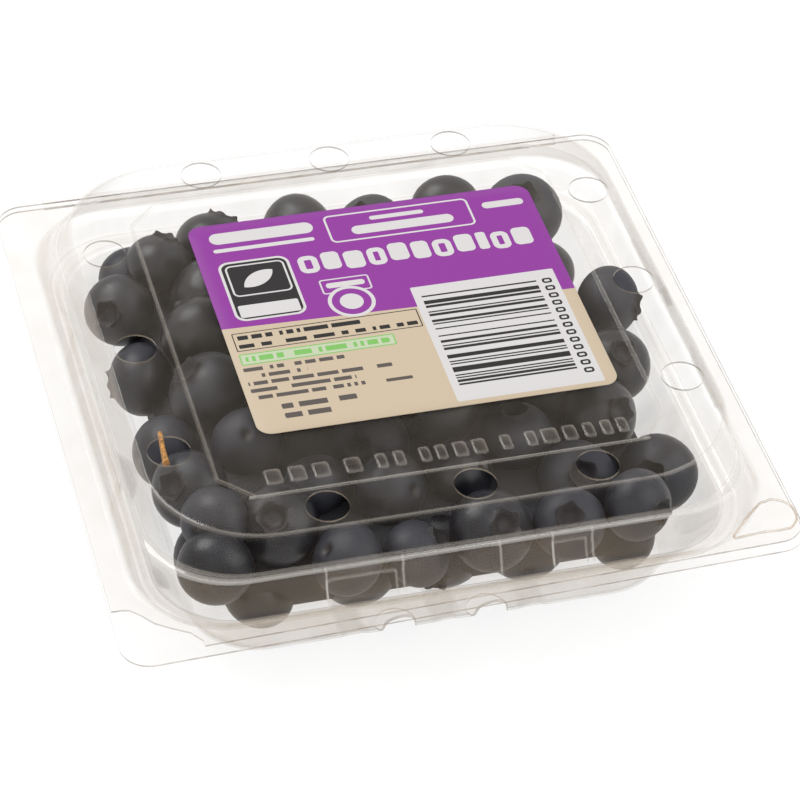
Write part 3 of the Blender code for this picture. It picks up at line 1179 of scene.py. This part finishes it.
@dataclass
class Lid(FormedSheet):
    """Upper half: sunk label panel, vented shelf, stepped wall and flange."""

    flange_moves: dict[Corner, tuple[float, float]] = field(
        default_factory=lambda: {Corner.FRONT_LEFT: (0.0, -0.6), Corner.FRONT_RIGHT: (-0.5, 2.2)}
    )
    thickness: float = 0.35
    top: float = field(default_factory=lambda: node_box("lid")[1].z)
    flange_top: float = 22.0
    # Half sizes, corner cut and depth
    panel: tuple[float, float, float, float] = (39.0, 39.5, 5.2, 0.6)
    vent_radius: float = 3.65
    vent_row: float = 45.0
    front_vents: tuple[float, ...] = (-22.6, 2.6, 23.8)
    back_vents: tuple[float, ...] = (-23.3, 0.8, 24.0)
    side_vents: tuple[float, ...] = (-26.6, 0.0, 26.4)
    # Middle and half width of each
    recesses: tuple[tuple[float, float], ...] = ((-17.3, 6.8), (18.2, 3.2))
    ribs: tuple[float, ...] = (-11.4, 5.2)
    recess_depth: float = 0.75
    rib_rise: float = 0.35
    relief_z: float = 24.6
    panel_mid: float = -0.8
    shelf_edge: Plan = (50.3, 49.8, 19.0)
    ledge_in: Plan = (51.7, 51.1, 15.8)
    ledge_out: Plan = (52.8, 52.2, 15.5)
    ledge_heights: tuple[float, float] = (27.9, 27.2)
    wall_foot: Plan = (55.2, 54.6, 15.2)
    flange_edge: Plan = (59.4, 58.9, 5.0)
    pad_rise: float = 0.35
    # Places in plan and radii of the pad's two ends
    pad_large: tuple[float, float, float] = (55.6, -49.3, 3.4)
    pad_small: tuple[float, float, float] = (50.5, -52.6, 2.2)
    # Seen from the flange's corner
    scoop_edge: tuple[tuple[float, float], ...] = (
        (13.4, -3.0),
        (13.2, 0.8),
        (11.6, 3.0),
        (8.6, 4.8),
        (6.3, 6.4),
        (4.6, 8.6),
        (3.0, 10.1),
        (1.6, 10.4),
    )

    def levels(self) -> list[Level]:
        """The profile from the panel out to the flange's edge.

        Returns:
            Its levels.
        """
        half_x, half_y, cut, sink = self.panel
        top, low = self.top, self.top - sink
        start = [
            Level(half_x - inset, half_y - inset, cut, z, 1.0, self.panel_mid)
            for inset, z in ((1.6, low), (0.6, low), (0.1, top))
        ]
        dome = [
            Level(*self.shelf_edge, top),
            Level(*self.ledge_in, self.ledge_heights[0]),
            Level(*self.ledge_out, self.ledge_heights[1]),
            Level(*self.wall_foot, self.flange_top),
            Level(*self.flange_edge, self.flange_top, skew=1.0),
        ]
        crown = rounded([*start, dome[0]], 0.25, 2)[:-1]
        wall = rounded([start[-1], *dome], 0.9, 5)
        return finer(crown + wall[1:], 1.1)

    def relief(self, points: np.ndarray, normals: np.ndarray) -> np.ndarray:
        """Press the snap recesses and ribs into the lower wall.

        Args:
            points: the ring's points.
            normals: the way each looks out.

        Returns:
            The points, moved.
        """
        z = points[:, 2]
        band = bell(z, self.relief_z, 1.3, 0.9)
        tall = bell(z, self.relief_z, 2.0, 0.8)
        across = np.where(np.abs(normals[:, 1]) > 0.9, points[:, 0], points[:, 1])
        straight = (np.max(np.abs(normals), axis=1) > 0.999).astype(float)
        amount = np.zeros(len(points))
        for middle, half in self.recesses:
            amount -= self.recess_depth * band * bell(across, middle, half, 0.7)
        for middle in self.ribs:
            amount += self.rib_rise * tall * bell(across, middle, 0.35, 0.7)
        moved = points.copy()
        moved[:, :2] += normals * (amount * straight)[:, None]
        flange = bell(z, self.flange_top, 0.02, 0.01)
        moved[:, 2] += self.pad_rise * self.corner_pad(points) * flange
        return moved

    def corner_pad(self, points: np.ndarray) -> np.ndarray:
        """The raised drop-shaped pad on the flange's front right corner.

        Args:
            points: places on the sheet.

        Returns:
            How much of the pad's height each has.
        """
        shares = [
            np.hypot(points[:, 0] - x, points[:, 1] - y) / radius
            for x, y, radius in (self.pad_large, self.pad_small)
        ]
        return np.clip((1.15 - np.minimum(*shares)) / 0.3, 0.0, 1.0)

    def vents(self) -> list[tuple[float, float]]:
        """Centres of the twelve vent holes.

        Returns:
            Their places in plan.
        """
        front = [(x, -self.vent_row) for x in self.front_vents]
        back = [(x, self.vent_row) for x in self.back_vents]
        sides = [(side * self.vent_row, y) for side in (-1, 1) for y in self.side_vents]
        return front + back + sides

    def scoop(self) -> list[tuple[float, float]]:
        """What is cut off the flange at its front left corner.

        Returns:
            Its outline in plan.
        """
        spots = [(-3.0, -3.0), *self.scoop_edge, (-3.0, self.scoop_edge[-1][1])]
        edge_x, edge_y, _ = self.flange_edge
        return [(x - edge_x, y - edge_y) for x, y in spots]

    def build(self, material: bpy.types.Material, rim: bpy.types.Material) -> bpy.types.Object:
        """Build the lid and put it in the CAD lid's place.

        Args:
            material: its finish.
            rim: the finish of its cut edges.

        Returns:
            The lid.
        """
        lid = self.sheet("clear_lid", self.levels(), material)
        thicken(lid, self.thickness, rim)
        cutters = [
            prism(f"vent_{i}", circle(spot, self.vent_radius), self.top - 4.0, self.top + 2.0, rim)
            for i, spot in enumerate(self.vents())
        ]
        cutters.append(prism("scoop", self.scoop(), self.flange_top - 1.5, self.flange_top + 3.0, rim))
        cut_away(lid, cutters)
        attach(lid, "lid")
        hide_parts("lid")
        return lid


@dataclass
class Tray(FormedSheet):
    """Lower half: channelled floor with drains, sloping wall, rim and flange."""

    flange_moves: dict[Corner, tuple[float, float]] = field(
        default_factory=lambda: {Corner.FRONT_LEFT: (-0.2, -1.9), Corner.FRONT_RIGHT: (-0.4, 1.0)}
    )
    thickness: float = 0.35
    flange_low: float = 20.5
    floor_half: float = 40.8
    floor_corner: float = 11.0
    # Half size, corner radius and height of each
    wall_bends: tuple[tuple[float, float, float], ...] = (
        (42.7, 12.0, 0.8),
        (43.4, 12.5, 3.6),
        (50.2, 14.0, 16.6),
        (52.8, 14.6, 17.4),
        (54.4, 15.0, 20.5),
    )
    flange_edge: Plan = (59.4, 58.9, 5.0)
    channels: tuple[float, ...] = (-16.0, 0.5, 16.0)
    channel_high: float = 1.5
    drains: tuple[tuple[float, float], ...] = ((-8.2, -40.6), (8.2, -40.6), (-8.2, 40.6), (8.2, 40.6))
    drain_radius: float = 3.6

    def levels(self) -> list[Level]:
        """The profile from the floor's middle out to the flange's edge.

        Returns:
            Its levels.
        """
        half, corner, parts = self.floor_half, self.floor_corner, 30
        floor = [
            Level(half * k / parts, half * k / parts, corner * k / parts, 0.0)
            for k in range(1, parts)
        ]
        wall = [
            Level(half, half, corner, 0.0),
            *(Level(half, half, corner, z) for half, corner, z in self.wall_bends),
            Level(*self.flange_edge, self.flange_low, skew=1.0),
        ]
        return floor + finer(rounded(wall, 0.8, 4), 1.2)

    def relief(self, points: np.ndarray, normals: np.ndarray) -> np.ndarray:
        """Raise the floor's channels, which run out under the front and back.

        Args:
            points: the ring's points.
            normals: the way each looks out; not used.

        Returns:
            The points, moved.
        """
        moved = points.copy()
        ridge = np.zeros(len(points))
        for middle in self.channels:
            ridge = np.maximum(ridge, bell(points[:, 0], middle, 1.1, 1.5))
        moved[:, 2] = np.maximum(points[:, 2], self.channel_high * ridge)
        return moved

    def build(self, material: bpy.types.Material, rim: bpy.types.Material) -> bpy.types.Object:
        """Build the tray and put it in the CAD tray's place.

        Args:
            material: its finish.
            rim: the finish of its cut edges.

        Returns:
            The tray.
        """
        tray = self.sheet("clear_tray", self.levels(), material)
        thicken(tray, self.thickness, rim, inward=False)
        cutters = [
            prism(f"drain_{i}", circle(spot, self.drain_radius), -1.0, 6.0, rim)
            for i, spot in enumerate(self.drains)
        ]
        cut_away(tray, cutters)
        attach(tray, "tray")
        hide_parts("tray")
        return tray


@dataclass
class HingeStrip:
    """The thin bead that joins the two flanges along the back edge."""

    half_length: float = 50.0
    edge_y: float = 58.7
    out_y: float = 60.4
    low: float = 20.7
    high: float = 21.8
    thickness: float = 0.25
    half_bend: float = 0.3

    def build(self, material: bpy.types.Material, rim: bpy.types.Material) -> bpy.types.Object:
        """Build the strip as a half-round bead between the two halves.

        Args:
            material: its finish.
            rim: the finish of its cut edges.

        Returns:
            The strip.
        """
        rows, steps, along = [], 12, 40
        middle = (self.low + self.high) / 2.0
        for k in range(steps + 1):
            angle = -math.pi / 2.0 + math.pi * k / steps
            y = self.edge_y + (self.out_y - self.edge_y) * math.cos(angle)
            z = middle + (self.high - self.low) / 2.0 * math.sin(angle)
            xs = np.linspace(-self.half_length, self.half_length, along + 1)
            rows.append(np.stack((xs, np.full_like(xs, y), np.full_like(xs, z)), axis=1))
        wide = along + 1
        faces = [
            (k * wide + i, k * wide + i + 1, (k + 1) * wide + i + 1, (k + 1) * wide + i)
            for k in range(steps)
            for i in range(along)
        ]
        strip = piece("hinge_strip", np.vstack(rows), faces, material)
        thicken(strip, self.thickness, rim)
        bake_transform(strip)
        return strip


@dataclass
class Label:
    """The printed label stuck on the lid's sunk panel."""

    corner: float = 2.6
    thickness: float = 0.14
    lift: float = 0.08
    bevel: float = 0.05

    def build(self, material: bpy.types.Material, panel_z: float) -> bpy.types.Object:
        """Build the label on the panel.

        Args:
            material: its print.
            panel_z: the panel's height.

        Returns:
            The label.
        """
        low, high = node_box("label")
        half_x, half_y = (high.x - low.x) / 2.0, (high.y - low.y) / 2.0
        mid = np.array(((high.x + low.x) / 2.0, (high.y + low.y) / 2.0, 0.0))
        shape = FormedSheet(corner_steps=8, side_steps=24)
        z = panel_z + self.lift
        top = z + self.thickness
        parts = 12
        levels = [
            Level(half_x * k / parts, half_y * k / parts, self.corner * k / parts, top)
            for k in range(1, parts)
        ]
        levels += [
            Level(half_x - self.bevel, half_y - self.bevel, self.corner, top),
            Level(half_x, half_y, self.corner, top - 0.8 * self.bevel),
            Level(half_x, half_y, self.corner, z),
        ]
        rings = [shape.ring(level)[0] + mid for level in levels]
        faces = skin(len(rings), len(rings[0]))
        label = piece("lid_label", np.vstack(rings), faces, material)
        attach(label, "lid")
        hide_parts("label")
        return label


@dataclass
class Embossing:
    """Plain raised dashes pressed into the panel's front band."""

    y: float = -35.9
    left: float = -31.0
    right: float = 30.5
    high: float = 3.8
    rise: float = 0.28
    widths: tuple[float, ...] = (2.0, 2.5, 3.0)
    gaps: tuple[float, ...] = (0.8, 1.1, 2.4)
    slope: float = 0.35

    def build(self, material: bpy.types.Material, panel_z: float) -> bpy.types.Object:
        """Build the row of dashes.

        Args:
            material: the lid's finish.
            panel_z: the panel's height.

        Returns:
            The dashes, one mesh.
        """
        draw = random.Random(5)
        points: list[np.ndarray] = []
        faces: Faces = []
        shape = FormedSheet(corner_steps=4, side_steps=2)
        x = self.left
        while x < self.right:
            wide = draw.choice(self.widths)
            half_x, half_y = wide / 2.0, self.high / 2.0
            levels = [
                Level(half_x - self.slope, half_y - self.slope, 0.3, panel_z + self.rise),
                Level(half_x, half_y, 0.6, panel_z + 0.02),
            ]
            middle = np.array((x + half_x, self.y, 0.0))
            rings = [shape.ring(level)[0] + middle for level in levels]
            count = len(rings[0])
            faces += skin(len(rings), count, first=len(points) * count)
            points += rings
            x += wide + draw.choice(self.gaps)
        dashes = piece("panel_dashes", np.vstack(points), faces, material)
        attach(dashes, "lid")
        return dashes


@dataclass
class Fruit:
    """The heap: every berry at its place, over a dark core."""

    count: int = 84
    small: float = 5.9
    large: float = 7.5
    top: float = 28.6
    clear: float = 0.75
    seed: int = 11
    bare_corner: tuple[float, float, float] = (36.0, -14.0, 12.0)
    squash: float = 0.86
    corner: float = 9.0
    drop: tuple[float, float] = (8.0, 40.0)
    spread: float = 40.0
    steps: tuple[int, int] = (180, 260)
    sinks: tuple[float, float] = (0.5, 0.12)
    # Half size and height of each ring
    core: tuple[tuple[float, float], ...] = (
        (35.0, 6.6),
        (39.6, 7.6),
        (41.0, 10.5),
        (41.0, 15.5),
        (38.5, 17.2),
        (26.0, 17.9),
    )
    # Distance from the axis, height, share of the lobes and of the crown's colour
    crown_profile: tuple[tuple[float, float, float, float], ...] = (
        (0.06, 0.66, 0.0, 1.0),
        (0.17, 0.67, 0.0, 1.0),
        (0.24, 0.74, 0.3, 1.0),
        (0.30, 0.85, 1.0, 1.0),
        (0.345, 0.88, 1.0, 1.0),
        (0.37, 0.82, 0.5, 0.7),
    )
    stem_profile: tuple[tuple[float, float, float, float], ...] = (
        (0.10, -0.80, 0.0, 0.0),
        (0.03, -0.79, 0.0, 0.0),
    )
    # Centre and radius of each berry that the photograph shows
    shown: tuple[tuple[float, float, float, float], ...] = (
        (-42.0, 28.5, 19.5, 6.5),
        (-37.5, 40.5, 16.5, 6.3),
        (-21.5, 41.5, 20.5, 7.3),
        (-26.5, 27.0, 21.0, 7.2),
        (-5.3, 44.4, 20.5, 7.5),
        (23.4, 43.2, 20.5, 6.9),
        (38.2, 41.0, 20.0, 7.6),
        (45.4, 9.6, 22.0, 6.6),
        (40.6, -6.1, 20.8, 6.8),
        (32.8, -42.0, 21.0, 6.3),
        (34.0, -38.5, 8.8, 6.2),
        (-18.0, -45.4, 20.0, 6.3),
        (4.8, -43.4, 20.6, 7.2),
        (-6.8, -45.8, 19.0, 6.0),
        (-38.6, -39.8, 20.0, 6.6),
        (-27.0, -37.0, 20.8, 7.2),
        (-32.0, -39.0, 8.6, 6.0),
        (-32.4, 1.1, 21.2, 7.4),
        (-43.5, 11.5, 17.5, 6.6),
        (-43.6, -6.5, 17.0, 6.5),
        (-40.1, -21.0, 20.3, 6.8),
        (21.0, -43.0, 20.3, 6.3),
    )
    # Height and half width of the room inside the walls
    room_levels: tuple[tuple[float, float], ...] = (
        (0.6, 41.6),
        (3.6, 42.8),
        (17.1, 49.5),
        (20.5, 53.4),
        (27.2, 50.6),
        (35.0, 49.2),
    )
    poles: dict[int, tuple[float, float, float]] = field(
        default_factory=lambda: {
            0: (-0.4, -0.5, 0.4),
            8: (0.1, -0.45, 0.85),
            9: (0.5, -0.75, 0.3),
            12: (0.2, -0.6, 0.75),
            15: (-0.3, -0.5, 0.8),
            17: (-0.6, 0.1, 0.75),
            20: (-0.6, -0.4, 0.6),
            21: (-0.2, -0.5, 0.85),
        }
    )

    def inner_half(self, z: float) -> float:
        """Half width of the room for fruit at one height.

        Args:
            z: the height in millimetres.

        Returns:
            The half width.
        """
        if z <= self.room_levels[0][0]:
            return self.room_levels[0][1]
        for (z_low, half_low), (z_high, half_high) in zip(self.room_levels, self.room_levels[1:]):
            if z <= z_high:
                return half_low + (half_high - half_low) * (z - z_low) / (z_high - z_low)
        return self.room_levels[-1][1]

    def keep_inside(self, berry: list[float]) -> None:
        """Move one berry back inside the walls, off the floor and out of the bare corner.

        Args:
            berry: its centre, radius and whether it is one of the listed ones.
        """
        x, y, z, radius = berry[:4]
        z = min(max(z, 2.1 + self.clear + radius), self.top - radius)
        room = min(
            self.inner_half(z + rise * radius) - radius * math.sqrt(1.0 - rise * rise)
            for rise in (-0.85, -0.65, -0.45, -0.25, 0.0, 0.3)
        )
        room -= self.clear
        x = min(max(x, -room), room)
        y = min(max(y, -room), room)
        corner = max(room - self.corner, 0.0)
        over_x, over_y = abs(x) - corner, abs(y) - corner
        if over_x > 0.0 and over_y > 0.0:
            reach = math.sqrt(over_x * over_x + over_y * over_y)
            if reach > self.corner:
                x = math.copysign(corner + over_x * self.corner / reach, x)
                y = math.copysign(corner + over_y * self.corner / reach, y)
        low_x, high_y, high_z = self.bare_corner
        if x > low_x and y < high_y and z > high_z and not berry[4]:
            z = max(high_z, z - 1.0)
        berry[0], berry[1], berry[2] = x, y, z

    @staticmethod
    def push_apart(first: list[float], second: list[float]) -> None:
        """Part two berries that overlap. A listed one keeps its plan position.

        Args:
            first: one berry.
            second: the other berry.
        """
        apart = [second[i] - first[i] for i in range(3)]
        distance = math.sqrt(apart[0] ** 2 + apart[1] ** 2 + apart[2] ** 2)
        overlap = first[3] + second[3] - distance
        if overlap <= 0.0:
            return
        if distance < 0.01:
            apart, distance = [0.0, 0.0, 1.0], 1.0
        share = (0.5, 0.5)
        if first[4] != second[4]:
            share = (0.0, 1.0) if first[4] else (1.0, 0.0)
        for i in range(3):
            move = overlap * apart[i] / distance
            first[i] -= share[0] * move
            second[i] += share[1] * move

    def settled(self) -> list[list[float]]:
        """Centres and radii of all the berries.

        Returns:
            Each berry's centre, radius and whether it is one of the listed ones.
        """
        draw = random.Random(self.seed)
        berries = [[x, y, z, radius, True] for x, y, z, radius in self.shown]
        while len(berries) < self.count:
            radius = draw.uniform(self.small, self.large)
            x, y = draw.uniform(-self.spread, self.spread), draw.uniform(-self.spread, self.spread)
            berries.append([x, y, draw.uniform(*self.drop), radius, False])
        fast_steps, all_steps = self.steps
        for step in range(all_steps):
            sink = self.sinks[0] if step < fast_steps else self.sinks[1]
            for berry in berries:
                if not berry[4]:
                    berry[2] -= sink
                self.keep_inside(berry)
            for i, first in enumerate(berries):
                for second in berries[i + 1 :]:
                    self.push_apart(first, second)
        for berry in berries:
            self.keep_inside(berry)
        return berries

    def template(self) -> tuple[np.ndarray, Faces, np.ndarray, np.ndarray]:
        """One berry of radius 1, its crown at the top.

        Returns:
            Its points, faces, crown mask and scar mask.
        """
        around, steps = 30, 19
        crown_angle, stem_angle = 0.44, 0.16
        profile = list(self.crown_profile)
        for k in range(steps):
            theta = crown_angle + (math.pi - crown_angle - stem_angle) * k / (steps - 1)
            mask = 0.25 if k == 0 else 0.0
            profile.append((math.sin(theta), self.squash * math.cos(theta), 0.0, mask))
        profile += self.stem_profile
        points, crown, scar = [], [], []
        turns = np.linspace(0.0, 2.0 * math.pi, around, endpoint=False)
        for rho, z, lobe, mask in profile:
            star = np.clip(np.cos(5.0 * turns), -0.55, 1.0)
            radius = rho * (1.0 + 0.12 * lobe * star)
            height = z + 0.035 * lobe * star
            points.append(np.stack((radius * np.cos(turns), radius * np.sin(turns), height), axis=1))
            crown += [mask] * around
            scar += [1.0 if z < -0.785 and rho < 0.11 else 0.0] * around
        return np.vstack(points), skin(len(profile), around), np.array(crown), np.array(scar)

    def pole_of(self, index: int, draw: random.Random) -> Vector:
        """Which way a berry's crown looks: as seen for a few, else at random."""
        free = Vector((draw.gauss(0, 1), draw.gauss(0, 1), draw.gauss(0, 1)))
        return Vector(self.poles.get(index, tuple(free))).normalized()

    def build_berries(self, material: bpy.types.Material) -> bpy.types.Object:
        """Build every berry as one mesh.

        Args:
            material: their skin.

        Returns:
            The berries.
        """
        shape, faces, crown, scar = self.template()
        draw = random.Random(self.seed + 1)
        points, all_faces, tones = [], [], []
        for index, berry in enumerate(self.settled()):
            pole = self.pole_of(index, draw)
            turn = pole.to_track_quat("Z", "Y").to_matrix() @ Matrix.Rotation(draw.uniform(0, 6.28), 3, "Z")
            lumps = 1.0 + 0.018 * np.sin(3.0 * shape[:, 0] + draw.uniform(0, 6)) * shape[:, 1]
            grown = shape * lumps[:, None] * berry[3]
            placed = grown @ np.array(turn).T + np.array(berry[:3])
            all_faces += [tuple(v + index * len(shape) for v in face) for face in faces]
            points.append(placed)
            tones += [draw.random()] * len(shape)
        berries = piece("berries", np.vstack(points), all_faces, material, 55.0)
        masks = {
            "crown": np.tile(crown, self.count),
            "scar": np.tile(scar, self.count),
            "tone": np.array(tones),
        }
        for name, values in masks.items():
            layer = berries.data.attributes.new(name, "FLOAT", "POINT")
            layer.data.foreach_set("value", values.astype(np.float32))
        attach(berries, "tray")
        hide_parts("blueberries")
        return berries

    def build_core(self, material: bpy.types.Material) -> bpy.types.Object:
        """Build the dark core that closes the gaps between the berries.

        Args:
            material: its finish.

        Returns:
            The core.
        """
        shape = FormedSheet(corner_steps=6, side_steps=6)
        levels = [Level(half, half, self.corner, z) for half, z in self.core]
        rings = [shape.ring(level)[0] for level in levels]
        faces = skin(len(rings), len(rings[0]), turned=True)
        core = piece("fruit_core", np.vstack(rings), faces, material)
        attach(core, "tray")
        return core


@dataclass
class Stalks:
    """The dry stalk left among the berries, seen in one vent."""

    radius: float = 0.42
    bow: float = 0.5
    places: tuple[tuple[tuple[float, float, float], tuple[float, float, float]], ...] = (
        ((-43.9, -14.6, 28.2), (-44.6, -22.8, 28.6)),
    )

    def build(self, material: bpy.types.Material) -> bpy.types.Object:
        """Build the stalks as one mesh.

        Args:
            material: their finish.

        Returns:
            The stalks.
        """
        points, faces = [], []
        around, steps = 8, 8
        for start, end in self.places:
            a, b = np.array(start), np.array(end)
            along = (b - a) / np.linalg.norm(b - a)
            side = np.cross(along, (0.0, 0.0, 1.0))
            side = side / np.linalg.norm(side)
            other = np.cross(along, side)
            faces += skin(steps + 1, around, first=len(points) * around, turned=True)
            for k in range(steps + 1):
                t = k / steps
                mid = a + (b - a) * t + other * self.bow * math.sin(math.pi * t)
                wide = self.radius * (1.0 + 0.5 * t * t)
                turns = np.linspace(0.0, 2.0 * math.pi, around, endpoint=False)
                ring = mid + wide * (np.cos(turns)[:, None] * side + np.sin(turns)[:, None] * other)
                points.append(ring)
        stalks = piece("stalks", np.vstack(points), faces, material)
        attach(stalks, "tray")
        return stalks


@dataclass
class Studio:
    """Pale floor, soft light and the camera at the photograph's angle."""

    azimuth: float = -17.8
    elevation: float = 41.4
    roll: float = 3.7
    distance: float = 583.0
    focal_pixels: float = 3347.0
    middle_pixel: tuple[float, float] = (389.0, 313.0)
    target_z: float = 35.0
    half_image: float = 400.0
    sensor: float = 36.0
    floor_half: float = 2500.0
    floor_z: float = -0.05
    sky: float = 0.85
    # Name, place and side in metres, power in watts
    lamps: tuple[tuple[str, tuple[float, float, float], float, float], ...] = (
        ("key", (-0.5, 0.55, 1.0), 0.8, 9.0),
        ("fill", (0.9, -0.5, 0.9), 1.2, 6.0),
    )
    clear_layers: int = 32
    bounces: int = 8

    def camera(self) -> None:
        """Make the camera and make it the scene's own."""
        angles = (self.azimuth, self.elevation, self.roll)
        azimuth, elevation, roll = (math.radians(angle) for angle in angles)
        right = Vector((math.cos(azimuth), math.sin(azimuth), 0.0))
        back = Vector(
            (
                math.sin(azimuth) * math.cos(elevation),
                -math.cos(azimuth) * math.cos(elevation),
                math.sin(elevation),
            )
        )
        up = back.cross(right)
        turned_right = right * math.cos(roll) + up * math.sin(roll)
        turned_up = up * math.cos(roll) - right * math.sin(roll)
        scale = self.distance / self.focal_pixels
        shift_x = (self.middle_pixel[0] - self.half_image) * scale
        shift_y = (self.half_image - self.middle_pixel[1]) * scale
        spot = Vector((0.0, 0.0, self.target_z)) + back * self.distance
        spot -= turned_right * shift_x + turned_up * shift_y
        data = bpy.data.cameras.new("camera")
        data.sensor_width = self.sensor
        data.lens = self.focal_pixels / (2.0 * self.half_image) * self.sensor
        data.clip_start = 0.01
        made = linked("camera", data)
        matrix = Matrix((turned_right, turned_up, back)).transposed().to_4x4()
        matrix.translation = spot * MM
        made.matrix_world = matrix
        bpy.context.scene.camera = made

    def lamp(self, name: str, place: tuple[float, float, float], size: float, power: float) -> None:
        """Add one soft square light that looks at the pack.

        Args:
            name: its name.
            place: where it hangs, in metres.
            size: its side, in metres.
            power: its power in watts.
        """
        data = bpy.data.lights.new(name, "AREA")
        data.size = size
        data.energy = power
        made = linked(name, data)
        made.location = place
        made.rotation_euler = (-Vector(place)).to_track_quat("-Z", "Y").to_euler()

    def build(self) -> None:
        """Make the floor, the lights and the camera."""
        self.camera()
        signs = ((-1, -1), (1, -1), (1, 1), (-1, 1))
        spots = [(x * self.floor_half, y * self.floor_half, self.floor_z) for x, y in signs]
        floor = piece("floor", np.array(spots), [(0, 1, 2, 3)], PaleFloor().build())
        for lamp in self.lamps:
            self.lamp(*lamp)
        world = bpy.data.worlds.new("studio")
        world.use_nodes = True
        background = world.node_tree.nodes["Background"]
        background.inputs["Color"].default_value = (1.0, 1.0, 1.0, 1.0)
        background.inputs["Strength"].default_value = self.sky
        scene = bpy.context.scene
        scene.world = world
        scene.view_settings.view_transform = "Standard"
        scene.cycles.transparent_max_bounces = self.clear_layers
        scene.cycles.max_bounces = self.bounces


def main() -> None:
    """Build the punnet and report each piece."""
    logging.basicConfig(level=logging.INFO, format="%(message)s")
    lid_sheet = LID_SHEET.build()
    tray_sheet = TRAY_SHEET.build()
    rim = CutEdge().build()
    Studio().build()
    lid = Lid()
    panel_z = lid.top - lid.panel[3]
    fruit = Fruit()
    made = [
        Tray().build(tray_sheet, rim),
        lid.build(lid_sheet, rim),
        HingeStrip().build(tray_sheet, rim),
        Label().build(LabelPrint().build(), panel_z),
        Embossing().build(lid_sheet, panel_z),
        fruit.build_core(DarkCore().build()),
        fruit.build_berries(BerrySkin().build()),
        Stalks().build(DryWood().build()),
    ]
    for obj in made:
        LOG.info("%s: %d faces", obj.name, len(obj.data.polygons))


if __name__ == "__main__":
    main()
